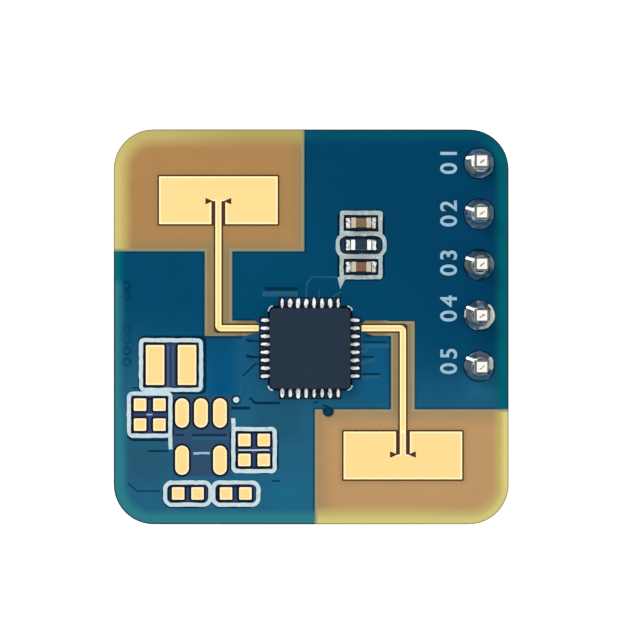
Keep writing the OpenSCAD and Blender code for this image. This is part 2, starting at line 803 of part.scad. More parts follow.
module filter_print() {
    grow = filter_gap + line_w;
    wide = filter_row_w + 2 * grow;
    tall = 2 * filter_pitch + small_pad_w + 2 * grow;
    bulge_w = wide + 2 * bulge;
    bulge_h = filter_pitch + line_w;
    bulge_r = (bulge_h - line_w) / 2;
    difference() {
        union() {
            rounded(wide, tall, filter_print_r);
            rounded(bulge_w, bulge_h, bulge_r);
        }
        for (i = [-1, 1]) translate([0, i * filter_pitch])
            square([filter_row_w + 2 * filter_gap, small_pad_w + 2 * filter_gap], center = true);
        rounded(bulge_w - 2 * line_w, bulge_h - 2 * line_w, bulge_r - line_w);
    }
    translate([-wide / 2, line_w / 2 - tall / 2])
        polygon([[-pointer_w / 4, 0], [3 * pointer_w / 4, 0], [pointer_w / 8, -pointer_l]]);
}

module printed_outlines() {
    right_wall = left_x + four_area.x / 2 + print_gap;
    left_wall = right_x - four_area.x / 2 - print_gap - line_w;
    color([0.8, 0.87, 0.88]) on_front() translate([0, 0, mask_t]) linear_extrude(ink_t) {
        group_outline(coil_x, coil_y, coil_area, print_r);
        group_outline(left_x, left_y, four_area, print_r);
        translate([right_wall, left_y - four_area.y / 2 - print_gap - tail_l])
            square([line_w, tail_l + line_w]);
        group_outline(right_x, right_y, four_area, print_r);
        translate([left_wall, right_y + four_area.y / 2]) square([line_w, tail_l]);
        translate([right_x, right_y]) square([four_area.x, mark_w], center = true);
        for (i = [0, 1])
            group_outline(bottom_x + i * bottom_pitch, bottom_y,
                pair_area + [bottom_spare, 0], bottom_print_r);
        translate(dash_place) square([dash_l, dash_h], center = true);
        translate([left_x, left_y]) square([short_dash_l, mark_w], center = true);
        translate(dot_place) circle(dot_r);
        translate([chip_x, chip_y]) corner_marks();
        translate([filter_x, filter_y]) filter_print();
    }
}

// Radar chip
module radar_chip_body() {
    color([0.14, 0.2, 0.25]) on_front() translate([chip_x, chip_y])
        chip_body(chip_w, chip_h, land_pitch, slug_w);
}

module radar_chip_lands() {
    color([0.75, 0.75, 0.73]) on_front() translate([chip_x, chip_y])
        chip_lands(chip_w, land_pitch, slug_w);
}

module radar_chip_pads() {
    color([0.95, 0.85, 0.55]) on_front() translate([chip_x, chip_y])
        linear_extrude(copper_t) chip_pad_shape(chip_w, land_pitch, slug_w);
}

module radar_chip_solder() {
    color([0.85, 0.86, 0.87]) on_front() translate([chip_x, chip_y])
        chip_solder(chip_w, land_pitch, slug_w);
}

// Filter parts
module upper_capacitor_body() color([0.55, 0.43, 0.35]) on_front() filter_rows([1]) capacitor_body();

module upper_capacitor_ends() color([0.78, 0.77, 0.74]) on_front() filter_rows([1]) capacitor_ends();

module lower_capacitor_body() color([0.5, 0.33, 0.28]) on_front() filter_rows([-1]) capacitor_body();

module lower_capacitor_ends() color([0.78, 0.77, 0.74]) on_front() filter_rows([-1]) capacitor_ends();

module resistor_core() color([0.9, 0.9, 0.88]) on_front() filter_rows([0]) resistor_core_block();

module resistor_coat() color([0.12, 0.2, 0.25]) on_front() filter_rows([0]) resistor_coat_block();

module resistor_ends() color([0.78, 0.77, 0.74]) on_front() filter_rows([0]) resistor_end_blocks();

module filter_pads() {
    color([0.95, 0.85, 0.55]) on_front() linear_extrude(copper_t) filter_rows([-1:1]) small_pad_shape(0);
}

module filter_solder() {
    color([0.85, 0.86, 0.87]) on_front() {
        filter_rows([-1, 1]) small_solder(capacitor_h);
        filter_rows([0]) small_solder(resistor_h);
    }
}

// Header
module pin_profile() {
    half = pin_w / 2;
    polygon([
        [-pin_tip / 2, -pin_below], [pin_tip / 2, -pin_below], [half, pin_taper - pin_below],
        [half, strip_h + pin_above - pin_taper], [pin_tip / 2, strip_h + pin_above],
        [-pin_tip / 2, strip_h + pin_above], [-half, strip_h + pin_above - pin_taper],
        [-half, pin_taper - pin_below]
    ]);
}

module pin() {
    intersection() {
        rotate([90, 0, 0]) linear_extrude(pin_w, center = true) pin_profile();
        rotate([90, 0, 90]) linear_extrude(pin_w, center = true) pin_profile();
    }
}

module pin_core(grow, low, high) {
    side = pin_w + 2 * grow;
    translate([-side / 2, -side / 2, low]) cube([side, side, high - low]);
}

module header_strip() {
    row = pin_count * pin_pitch;
    notch = strip_notch * sqrt(2);
    color([0.1, 0.1, 0.11]) difference() {
        linear_extrude(strip_h) difference() {
            square([strip_w, row], center = true);
            for (i = [0:pin_count], s = [-1, 1])
                translate([s * strip_w / 2, i * pin_pitch - row / 2]) rotate(45)
                    square(notch, center = true);
        }
        on_board() pin_places() pin_core(pin_fit, -cover, strip_h + cover);
    }
}

module header_pin(i) {
    color([0.88, 0.87, 0.84]) translate([0, ((pin_count - 1) / 2 - i) * pin_pitch, 0]) pin();
}

module header_barrels() {
    color([0.95, 0.85, 0.55]) on_front() pin_places() barrel(hole_d / 2, barrel_r, ring_r);
}

module header_solder() {
    low = -laminate_t - copper_t;
    lip = solder_t;
    hollow = [for (i = [0:arc_steps]) let (a = 90 * i / arc_steps) [
        collar_r + (cone_r - collar_r) * (1 - sin(a)),
        copper_t + lip + (cone_h - lip) * (1 - cos(a))
    ]];
    color([0.85, 0.86, 0.87]) on_front() pin_places() difference() {
        rotate_extrude() polygon(concat(
            [[0, low], [barrel_r, low], [barrel_r, copper_t], [cone_r, copper_t]],
            hollow, [[0, copper_t + cone_h]]
        ));
        pin_core(0, low - cover, copper_t + cone_h + cover);
    }
}

// Back of the board
module processor_body() {
    color([0.11, 0.12, 0.13]) on_back() translate([processor_x, processor_y])
        chip_body(processor_w, processor_h, processor_pitch, processor_slug);
}

module processor_lands() {
    color([0.75, 0.75, 0.73]) on_back() translate([processor_x, processor_y])
        chip_lands(processor_w, processor_pitch, processor_slug);
}

module processor_solder() {
    color([0.85, 0.86, 0.87]) on_back() translate([processor_x, processor_y])
        chip_solder(processor_w, processor_pitch, processor_slug);
}

module crystal_base() {
    color([0.35, 0.33, 0.3]) on_back() translate([crystal_x, crystal_y, copper_t + solder_t])
        linear_extrude(crystal_base_h) rounded(crystal_l, crystal_w, crystal_step);
}

module crystal_lid() {
    color([0.8, 0.8, 0.78]) on_back()
        translate([crystal_x, crystal_y, copper_t + solder_t + crystal_base_h])
            linear_extrude(crystal_lid_h)
                rounded(crystal_l - 2 * crystal_step, crystal_w - 2 * crystal_step, crystal_step);
}

module crystal_solder() {
    color([0.85, 0.86, 0.87]) on_back() translate([crystal_x, crystal_y, copper_t])
        linear_extrude(solder_t) intersection() {
            crystal_pad_shape(0);
            rounded(crystal_l, crystal_w, crystal_step);
        }
}

module supply_regulator_body() {
    color([0.12, 0.12, 0.13]) on_back() translate([regulator_x, regulator_y, copper_t + solder_t])
        difference() {
            translate([0, 0, regulator_gap]) intersection() {
                rotate([90, 0, 0]) linear_extrude(regulator_w, center = true)
                    tapered(regulator_l, regulator_h);
                rotate([90, 0, 90]) linear_extrude(regulator_l, center = true)
                    tapered(regulator_w, regulator_h);
            }
            translate([0, 0, -copper_t - solder_t]) regulator_lead_set();
        }
}

module supply_regulator_leads() {
    color([0.75, 0.75, 0.73]) on_back() translate([regulator_x, regulator_y, 0]) regulator_lead_set();
}

module supply_regulator_solder() {
    color([0.85, 0.86, 0.87]) on_back() translate([regulator_x, regulator_y, 0])
        for (p = regulator_leads) translate([p.x * lead_pitch, 0, 0])
            rotate(90 * p.y) translate([regulator_span / 2, 0, 0])
                joint(lead_foot, lead_toe, lead_t * climb, lead_w);
}

module back_capacitor_bodies() {
    color([0.55, 0.43, 0.35]) on_back() for (p = capacitor_places) translate(p) capacitor_body();
}

module back_capacitor_ends() {
    color([0.78, 0.77, 0.74]) on_back() for (p = capacitor_places) translate(p) capacitor_ends();
}

module back_resistor_cores() {
    color([0.9, 0.9, 0.88]) on_back() for (p = resistor_places) translate(p) resistor_core_block();
}

module back_resistor_coats() {
    color([0.1, 0.1, 0.1]) on_back() for (p = resistor_places) translate(p) resistor_coat_block();
}

module back_resistor_ends() {
    color([0.78, 0.77, 0.74]) on_back() for (p = resistor_places) translate(p) resistor_end_blocks();
}

module back_solder() {
    color([0.85, 0.86, 0.87]) on_back() {
        for (p = capacitor_places) translate(p) small_solder(capacitor_h);
        for (p = resistor_places) translate(p) small_solder(resistor_h);
    }
}

module back_pads() {
    color([0.95, 0.85, 0.55]) on_back() linear_extrude(copper_t) {
        back_pad_shapes(0);
        translate([processor_x, processor_y])
            chip_pad_shape(processor_w, processor_pitch, processor_slug);
    }
}

upper_laminate();
copper_plane();
lower_laminate();
front_pour();
back_pour();
front_mask();
back_mask();
upper_antenna();
lower_antenna();
tented_vias();
coil_pads();
oblong_pads();
square_pads();
printed_outlines();
radar_chip_body();
radar_chip_lands();
radar_chip_pads();
radar_chip_solder();
upper_capacitor_body();
upper_capacitor_ends();
lower_capacitor_body();
lower_capacitor_ends();
resistor_core();
resistor_coat();
resistor_ends();
filter_pads();
filter_solder();
header_strip();
header_barrels();
header_solder();
header_pin(0);  // header_pin_1
header_pin(1);  // header_pin_2
header_pin(2);  // header_pin_3
header_pin(3);  // header_pin_4
header_pin(4);  // header_pin_5
processor_body();
processor_lands();
processor_solder();
crystal_base();
crystal_lid();
crystal_solder();
supply_regulator_body();
supply_regulator_leads();
supply_regulator_solder();
back_capacitor_bodies();
back_capacitor_ends();
back_resistor_cores();
back_resistor_coats();
back_resistor_ends();
back_solder();
back_pads();
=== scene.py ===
"""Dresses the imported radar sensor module: finishes, fine pieces, camera, lamps and floor."""

import logging
import math
from contextlib import contextmanager
from dataclasses import dataclass, field
from enum import Enum
from functools import reduce
from typing import Any, Iterable, Iterator, Sequence

import bmesh
import bpy
from mathutils import Matrix, Vector, noise

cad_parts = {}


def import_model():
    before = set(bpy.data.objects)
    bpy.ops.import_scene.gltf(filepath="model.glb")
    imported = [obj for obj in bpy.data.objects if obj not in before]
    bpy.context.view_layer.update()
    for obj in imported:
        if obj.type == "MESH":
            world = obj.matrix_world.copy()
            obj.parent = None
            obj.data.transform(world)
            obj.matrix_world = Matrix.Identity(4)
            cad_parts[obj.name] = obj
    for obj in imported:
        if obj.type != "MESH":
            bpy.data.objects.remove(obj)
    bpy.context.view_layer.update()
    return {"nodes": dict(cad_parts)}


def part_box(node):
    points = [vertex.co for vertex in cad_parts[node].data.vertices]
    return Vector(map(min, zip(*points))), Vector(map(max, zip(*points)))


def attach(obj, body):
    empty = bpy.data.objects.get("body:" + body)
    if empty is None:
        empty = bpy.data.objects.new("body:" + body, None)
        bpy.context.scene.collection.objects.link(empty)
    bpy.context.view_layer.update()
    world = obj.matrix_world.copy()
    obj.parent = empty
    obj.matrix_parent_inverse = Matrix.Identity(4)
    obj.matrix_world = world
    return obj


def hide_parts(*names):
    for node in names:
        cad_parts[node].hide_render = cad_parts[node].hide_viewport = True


log = logging.getLogger("radar_module")

MM = 0.001
FRAME_PIXELS = 640
PIXELS_PER_MM = 19.96
BOARD_PIXEL = (311.15, 326.85)  # the board's middle in the picture
MERGE_WITHIN = 1e-7  # metres
NOISE_SEED = 11

# Millimetres, from the board's middle where it is a place
PIN_PITCH = 2.54
PIN_COUNT = 5
CHIP = (-0.05, -1.07)
LAND_PITCH = 0.4

Colour = tuple[int, int, int]
Point = tuple[float, float]
Piece = bpy.types.Object
Socket = bpy.types.NodeSocket


def linear(colour: Colour) -> tuple[float, float, float, float]:
    """Turns an 8-bit display colour into the linear one that a shader takes.

    Args:
        colour: Red, green and blue, each from 0 to 255.

    Returns:
        Red, green, blue and an alpha of one.
    """
    parts = [c / 255 for c in colour]
    flat = [p / 12.92 if p <= 0.04045 else ((p + 0.055) / 1.055) ** 2.4 for p in parts]
    return flat[0], flat[1], flat[2], 1.0


class Layer(Enum):
    """Level of a printed or plated layer above the laminate, in millimetres."""

    COPPER = 0.04
    MASK = 0.07
    INK = 0.1


class Face(Enum):
    """Side of the board that a mask lies on."""

    FRONT = 1
    BACK = -1


# Shader maths


class Term:
    """A socket's value, which ordinary arithmetic extends with Math nodes."""

    def __init__(self, graph: "Graph", socket: Socket) -> None:
        """Wraps one output socket of a graph's node."""
        self.graph, self.socket = graph, socket

    def __add__(self, other: "Term | float") -> "Term":
        """Adds."""
        return self.graph.math("ADD", self, other)

    def __sub__(self, other: "Term | float") -> "Term":
        """Subtracts."""
        return self.graph.math("SUBTRACT", self, other)

    def __mul__(self, other: "Term | float") -> "Term":
        """Multiplies."""
        return self.graph.math("MULTIPLY", self, other)

    def __truediv__(self, other: "Term | float") -> "Term":
        """Divides."""
        return self.graph.math("DIVIDE", self, other)

    def __neg__(self) -> "Term":
        """Changes the sign."""
        return self * -1.0

    def __abs__(self) -> "Term":
        """Drops the sign."""
        return self.graph.math("ABSOLUTE", self)

    def root(self) -> "Term":
        """Takes the square root."""
        return self.graph.math("SQRT", self)

    def least(self, other: "Term | float") -> "Term":
        """Takes the smaller of the two."""
        return self.graph.math("MINIMUM", self, other)

    def most(self, other: "Term | float") -> "Term":
        """Takes the larger of the two."""
        return self.graph.math("MAXIMUM", self, other)

    def clipped(self) -> "Term":
        """Keeps the value from 0 to 1."""
        return self.graph.math("ADD", self, 0.0, clamp=True)

    def folded(self, pitch: float) -> "Term":
        """Repeats the value over each pitch, about zero."""
        return self.graph.math("WRAP", self, pitch / 2, -pitch / 2)

    def rise(self, low: float, high: float) -> "Term":
        """Rises smoothly from 0 at low to 1 at high, or falls where high is below low.

        Args:
            low: Value that gives 0.
            high: Value that gives 1.

        Returns:
            The smooth step.
        """
        inputs = {"Value": self, "From Min": low, "From Max": high}
        node = self.graph.node("MapRange", inputs, interpolation_type="SMOOTHSTEP")
        return Term(self.graph, node.outputs["Result"])


class Graph:
    """A node tree, with object coordinates in millimetres."""

    def __init__(self, owner: bpy.types.ID) -> None:
        """Takes over the node tree of a material or world and empties it."""
        owner.use_nodes = True
        self.tree = owner.node_tree
        self.tree.nodes.clear()
        self._place: Socket | None = None

    def node(self, kind: str, inputs: dict[Any, Any], **settings: Any) -> bpy.types.Node:
        """Adds one node.

        Args:
            kind: The node's type, without ShaderNode before it.
            inputs: A value or a link for each socket, by name or number.
            settings: Its settings, which are set first.

        Returns:
            The node.
        """
        made = self.tree.nodes.new("ShaderNode" + kind)
        for name, value in settings.items():
            setattr(made, name, value)
        for key, value in inputs.items():
            if isinstance(value, Term):
                value = value.socket
            if isinstance(value, Socket):
                self.tree.links.new(value, made.inputs[key])
            else:
                made.inputs[key].default_value = value
        return made

    def math(self, operation: str, *values: "Term | float", clamp: bool = False) -> Term:
        """Adds a Math node on terms or numbers, kept from 0 to 1 where clamped."""
        node = self.node("Math", dict(enumerate(values)), operation=operation, use_clamp=clamp)
        return Term(self, node.outputs[0])

    def place(self) -> Socket:
        """Gives the object coordinates in millimetres.

        Returns:
            Their socket, which is made once.
        """
        if self._place is None:
            self._place = self.scaled(self.node("TexCoord", {}).outputs["Object"], 1 / MM)
        return self._place

    def axes(self, origin: Sequence[float] = (0.0, 0.0, 0.0)) -> tuple[Term, ...]:
        """Gives X, Y and Z in millimetres from an origin."""
        parts = self.node("SeparateXYZ", {0: self.place()}).outputs
        return tuple(Term(self, part) - zero for part, zero in zip(parts, origin))

    def clouds(self, size: float, detail: float = 2.0, stretch: Point | None = None) -> Term:
        """Gives noise that varies about zero, from about -0.5 to 0.5.

        Args:
            size: Size of the clouds in millimetres.
            detail: Octaves of finer clouds.
            stretch: Factors along X and Y, where the clouds are drawn out.

        Returns:
            The noise.
        """
        where = self.place()
        if stretch is not None:
            scale = (1 / stretch[0], 1 / stretch[1], 1.0)
            where = self.node("Mapping", {"Vector": where, "Scale": scale}).outputs[0]
        node = self.node("TexNoise", {"Vector": where, "Scale": 1 / size, "Detail": detail})
        return Term(self, node.outputs[0]) - 0.5

    def layered(self, base: Any, *layers: tuple["Term | float", Any]) -> Any:
        """Lays colours over a base.

        Args:
            base: An 8-bit colour, or a colour socket.
            layers: For each layer how much of it shows, from 0 to 1, and its colour.

        Returns:
            The colour on top.
        """
        for share, colour in layers:
            ends = [linear(c) if isinstance(c, tuple) else c for c in (base, colour)]
            inputs = {0: share, 6: ends[0], 7: ends[1]}
            base = self.node("Mix", inputs, data_type="RGBA", clamp_factor=True).outputs[2]
        return base

    def scaled(self, vector: Any, factor: "Term | float") -> Socket:
        """Multiplies a place or a colour by a number."""
        return self.node("VectorMath", {0: vector, "Scale": factor}, operation="SCALE").outputs[0]

    def shade(self, colour: Any, amount: Term) -> Socket:
        """Makes a colour lighter by a share, or darker where the share is negative."""
        base = linear(colour)[:3] if isinstance(colour, tuple) else colour
        return self.scaled(base, amount + 1.0)

    def relief(self, height: Term, depth: float) -> Socket:
        """Turns a height from 0 to 1 into a normal, for so many millimetres of depth."""
        inputs = {"Strength": 1.0, "Distance": depth * MM, "Height": height}
        return self.node("Bump", inputs).outputs[0]


@dataclass(frozen=True)
class Block:
    """An upright rectangle on the board, in millimetres from its middle.

    The fold is half the pitch, in X and Y, of copies on both sides of its middle.
    """

    x: float
    y: float
    half_w: float
    half_h: float
    radius: float = 0.0
    fold: Point | None = None

    def distance(self, x: Term, y: Term) -> Term:
        """Gives the distance from the block's outline, negative inside it.

        Args:
            x: Place along X from the board's middle.
            y: Place along Y from the board's middle.

        Returns:
            The distance in millimetres.
        """
        across, along = abs(x - self.x), abs(y - self.y)
        if self.fold is not None:
            across, along = abs(across - self.fold[0]), abs(along - self.fold[1])
        u = across - (self.half_w - self.radius)
        v = along - (self.half_h - self.radius)
        outer_u, outer_v = u.most(0.0), v.most(0.0)
        corner = (outer_u * outer_u + outer_v * outer_v).root()
        return corner + u.most(v).least(0.0) - self.radius


def blocks(*rows: Sequence[float]) -> tuple[Block, ...]:
    """Makes blocks from places in the 640-pixel picture of the board.

    Args:
        rows: Left, top, right and bottom of each in pixels, and its radius in
            millimetres where it has one.

    Returns:
        The blocks.
    """
    made = []
    for left, top, right, bottom, *radius in rows:
        x0, x1 = ((v - BOARD_PIXEL[0]) / PIXELS_PER_MM for v in (left, right))
        y1, y0 = ((BOARD_PIXEL[1] - v) / PIXELS_PER_MM for v in (top, bottom))
        made.append(Block((x0 + x1) / 2, (y0 + y1) / 2, (x1 - x0) / 2, (y1 - y0) / 2, *radius))
    return tuple(made)


def nearest(group: Iterable[Block], x: Term, y: Term, lines: bool = False) -> Term:
    """Gives the distance from the nearest of several blocks.

    Args:
        group: The blocks.
        x: Place along X from the board's middle.
        y: Place along Y from the board's middle.
        lines: Whether only their outlines count, so that it is positive inside too.

    Returns:
        The distance in millimetres.
    """
    distances = [block.distance(x, y) for block in group]
    return reduce(Term.least, [abs(d) for d in distances] if lines else distances)


def to_stroke(x: Term, y: Term, start: Point, end: Point) -> Term:
    """Gives the distance from a straight stroke.

    Args:
        x: Place along X.
        y: Place along Y.
        start: The stroke's one end.
        end: Its other end.

    Returns:
        The distance in millimetres.
    """
    run, climb = end[0] - start[0], end[1] - start[1]
    from_x, from_y = x - start[0], y - start[1]
    along = ((from_x * run + from_y * climb) / (run * run + climb * climb)).clipped()
    off_x, off_y = from_x - along * run, from_y - along * climb
    return (off_x * off_x + off_y * off_y).root()


# The board's plan

BOARD = Block(0, 0, 9.9, 9.9, 2.0)

ZONES = blocks(
    (60, 90, 304.4, 251.4),
    (204.2, 240, 232.1, 337),
    (204.2, 320.2, 252.5, 331),
    (204.2, 328, 241, 337),
    (314.5, 409.1, 560, 560),
    (390.4, 321.4, 414.6, 420),
    (361.5, 321.4, 414.6, 329),
    (367, 328, 414.6, 335.8),
)
CHANNELS = ZONES[1:4] + ZONES[5:8]

PLATED = (
    Block(-4.65, 6.345, 2.97, 1.195),
    Block(-4.65, 2.6, 0.15, 2.75, 0.12),
    Block(-3.7, -0.07, 1.1, 0.15, 0.12),
    Block(4.6, -6.445, 2.97, 1.195),
    Block(4.6, -2.6, 0.15, 2.65, 0.12),
    Block(3.6, -0.07, 1.15, 0.15, 0.12),
)

NOTCHES = tuple(
    Block(x + side * 0.25, y, 0.1, 0.575)
    for x, y in ((-4.65, 5.725), (4.6, -5.825))
    for side in (-1, 1)
)

THIN_PRINT = (Block(-5.49, -6.33, 0.45, 0.1), Block(-8.09, -4.4, 0.2, 0.08))

WINDOW_TONES = (
    (44, 64, 90), (46, 62, 102), (44, 73, 100), (44, 62, 102), (44, 66, 104), (44, 66, 104),
    (34, 52, 72),
)
WINDOWS = blocks(
    (144, 341, 200, 389), (131, 396, 168.5, 434), (173, 396, 231, 476), (235, 431, 275, 468),
    (168, 485, 208, 503), (216, 485, 257, 503), (342, 215, 380, 276),
)

PRINTED = blocks(
    (139.5, 337, 205, 393, 0.25),
    (144.5, 342, 199.5, 388.5),
    (127.6, 394, 173, 440, 0.35),
    (132.2, 398.6, 168.4, 435.4),
    (231, 428, 277.4, 472.6, 0.35),
    (235.6, 432.6, 272.8, 468, 0.1),
    (163.5, 482, 208.5, 507, 0.45),
    (168, 486.4, 204, 502.6, 0.2),
    (212, 482, 257, 507, 0.45),
    (216.6, 486.4, 252.4, 502.6, 0.2),
    (338.5, 211, 383.5, 279.5, 0.3),
    (343.5, 216, 378, 231),
    (340, 237, 382.5, 254.5, 0.3),
    (343.5, 260, 379, 275.5),
    (232.6, 396.6, 239.4, 403.4, 0.17),
)

TENTS = (
    (126.5, 285.5), (126.5, 295.5), (126.8, 329), (126.8, 339.5), (126.8, 351), (126.8, 362),
    (328.3, 411.5),
)
RINGS = blocks(*((x - 3.6, y - 3.6, x + 3.6, y + 3.6, 0.18) for x, y in TENTS))

GOLD_PADS = (
    Block(-7.02, -1.91, 0.46, 1.0, 0.09, (0.8, 0.0)),
    Block(-8.09, -4.4, 0.31, 0.31, 0.09, (0.485, 0.5)),
    Block(-2.86, -6.17, 0.31, 0.31, 0.09, (0.485, 0.5)),
    Block(-6.18, -8.35, 0.31, 0.31, 0.09, (0.485, 0.0)),
    Block(-3.8, -8.35, 0.31, 0.31, 0.09, (0.485, 0.0)),
    Block(-5.52, -5.5, 0.34, 0.73, 0.34, (0.95, 1.185)),
    Block(-5.52, -4.315, 0.34, 0.73, 0.34),
)
PADS = (*GOLD_PADS, Block(*CHIP, 2.02, 2.02, 0.1))

PATCH_LOOKS = (
    ((28, 94, 122), 0.9), ((36, 80, 102), 0.6), ((0, 76, 116), 0.5), ((28, 80, 104), 0.6),
    ((22, 84, 118), 0.5), ((14, 84, 120), 0.5), ((24, 98, 128), 0.8),
)
PATCHES = blocks(
    (466, 380, 500, 400), (126, 444, 168, 480), (206, 350, 240, 400), (254, 392, 300, 440),
    (236, 330, 262, 396), (362, 336, 388, 402), (272, 480, 306, 515),
)


# Finishes


@dataclass(frozen=True)
class Mark:
    """A soft stroke of another tone, placed from a joint's middle, for painted reflections, glints
    and shade on the solder.
    """

    start: Point
    end: Point
    half: float
    soft: float
    colour: Colour
    share: float = 1.0
    swell: float = 1.25
    waver: float = 0.05

    def share_at(self, graph: Graph, x: Term, y: Term) -> Term:
        """Gives how much of the mark shows at a place.

        Args:
            graph: The node tree.
            x: Place along X from the joint's middle.
            y: Place along Y from the joint's middle.

        Returns:
            A share from 0 to 1.
        """
        reach = to_stroke(x, y, self.start, self.end) + graph.clouds(0.4, 2.0) * self.waver
        half = self.half * self.swell
        return reach.rise(half + self.soft, half - self.soft) * self.share


# Tones of the painted reflections and glints on the header cones; DARK is painted shade
WHITE, PALE, GREY, HAZE, DARK = (
    (252, 252, 248), (216, 214, 202), (106, 114, 116), (44, 90, 114), (8, 26, 42)
)

# For each header cone, strokes of painted reflection, glint and shade
MARK_ROWS = (
    (
        ((-0.14, 0.52), (0.45, 0.4), 0.12, 0.1, HAZE),
        ((0.59, 0.23), (0.63, -0.08), 0.06, 0.05, (90, 120, 124)),
        ((-0.48, -0.02), (-0.33, -0.34), 0.11, 0.07, (122, 120, 112)),
        ((-0.13, 0.25), (-0.13, -0.2), 0.045, 0.02, DARK),
        ((-0.6, 0.14), (-0.36, 0.14), 0.02, 0.02, DARK, 0.6),
        ((-0.6, 0.27), (-0.26, 0.27), 0.06, 0.02, WHITE),
        ((-0.4, 0.24), (-0.38, -0.16), 0.035, 0.02, WHITE),
    ),
    (
        ((-0.37, -0.46), (0.4, -0.49), 0.1, 0.08, HAZE),
        ((0.58, 0.31), (0.6, -0.14), 0.09, 0.06, (84, 110, 110)),
        ((-0.56, 0.07), (-0.41, 0.06), 0.05, 0.04, (106, 132, 152)),
        ((-0.58, -0.09), (-0.38, -0.08), 0.06, 0.04, (94, 118, 134)),
        ((-0.63, 0.32), (-0.4, 0.2), 0.06, 0.03, (236, 244, 250)),
    ),
    (
        ((-0.4, -0.5), (-0.1, -0.6), 0.1, 0.08, (44, 80, 102)),
        ((-0.6, 0.08), (-0.37, -0.25), 0.13, 0.07, (98, 104, 106)),
        ((0.56, 0.28), (0.6, -0.06), 0.07, 0.05, (112, 122, 118)),
        ((-0.64, 0.26), (-0.32, 0.1), 0.03, 0.03, DARK, 0.6),
        ((-0.69, 0.37), (-0.31, 0.21), 0.06, 0.02, WHITE),
    ),
    (
        ((-0.36, -0.4), (0.1, -0.5), 0.1, 0.08, (58, 92, 110)),
        ((-0.56, 0.2), (-0.4, -0.1), 0.16, 0.06, GREY),
        ((-0.7, 0.25), (-0.71, -0.05), 0.03, 0.02, (190, 198, 196)),
        ((-0.06, 0.68), (0.13, 0.45), 0.06, 0.04, (122, 126, 142)),
        ((0.5, 0.5), (0.67, 0.3), 0.05, 0.03, PALE),
        ((0.67, 0.2), (0.64, -0.14), 0.11, 0.03, PALE),
        ((0.6, -0.26), (0.38, -0.5), 0.09, 0.03, (206, 206, 196)),
        ((0.34, -0.56), (0.06, -0.62), 0.06, 0.03, (190, 194, 190)),
        ((-0.58, 0.28), (-0.24, 0.14), 0.03, 0.03, DARK, 0.6),
        ((-0.6, 0.42), (-0.22, 0.27), 0.06, 0.02, WHITE),
    ),
    (
        ((0.0, 0.62), (0.34, 0.45), 0.12, 0.06, (92, 98, 112)),
        ((-0.3, -0.45), (0.4, -0.55), 0.1, 0.08, HAZE),
        ((-0.6, 0.1), (-0.36, -0.2), 0.15, 0.05, (94, 106, 114)),
        ((0.56, 0.34), (0.58, -0.05), 0.1, 0.03, (204, 202, 194)),
        ((-0.58, 0.28), (-0.22, 0.15), 0.03, 0.03, DARK, 0.6),
        ((-0.6, 0.41), (-0.2, 0.27), 0.06, 0.02, WHITE),
    ),
)
JOINT_MARKS = tuple(tuple(Mark(*row) for row in joint) for joint in MARK_ROWS)


@dataclass(frozen=True)
class Finish:
    """A finish whose colour, sheen and relief vary finely over the surface."""

    name: str
    colour: Colour
    metallic: float = 0.0
    roughness: float = 0.5
    mottle: float = 0.1
    mottle_size: float = 0.6
    grain: float = 0.002
    grain_size: float = 0.06
    scuff: float = 0.1
    specular: float = 0.5
    drawn: Point | None = None
    # strength of a painted glow, which the cone solder uses for its painted glints
    glow_strength: float = 0.0
    centre: Point = (0.0, 0.0)

    def plan(self, graph: Graph) -> tuple[Term, ...]:
        """Gives X and Y in millimetres from the board's middle."""
        return graph.axes(self.centre)

    def paint(self, graph: Graph) -> Socket:
        """Gives the colour over the surface.

        Args:
            graph: The node tree.

        Returns:
            The colour's socket.
        """
        broad = graph.clouds(self.mottle_size, 3.0, self.drawn)
        fine = graph.clouds(self.grain_size, 1.0, self.drawn)
        return graph.shade(self.colour, (broad * 1.4 + fine * 0.6) * self.mottle)

    def metal(self, graph: Graph) -> "Term | float":
        """Gives how metallic the surface is."""
        return self.metallic

    def glow(self, graph: Graph) -> Any:
        """Gives the colour of what shines by itself, black as a rule."""
        return linear((0, 0, 0))

    def material(self) -> bpy.types.Material:
        """Makes the material once and gives it again later.

        Returns:
            The finish as a Blender material.
        """
        title = self.name + "_finish"
        made = bpy.data.materials.get(title)
        if made is not None:
            return made
        made = bpy.data.materials.new(title)
        made.diffuse_color = linear(self.colour)
        graph = Graph(made)
        rough = graph.clouds(self.mottle_size * 0.7, 2.0) * (2 * self.scuff) + self.roughness
        height = graph.clouds(self.grain_size, 2.0, self.drawn) + 0.5
        inputs = {
            "Base Color": self.paint(graph),
            "Metallic": self.metal(graph),
            "Roughness": rough.clipped(),
            "Specular IOR Level": self.specular,
            "Normal": graph.relief(height, self.grain),
            "Emission Color": self.glow(graph),
            "Emission Strength": self.glow_strength,
        }
        shader = graph.node("BsdfPrincipled", inputs)
        graph.node("OutputMaterial", {"Surface": shader.outputs[0]})
        return made


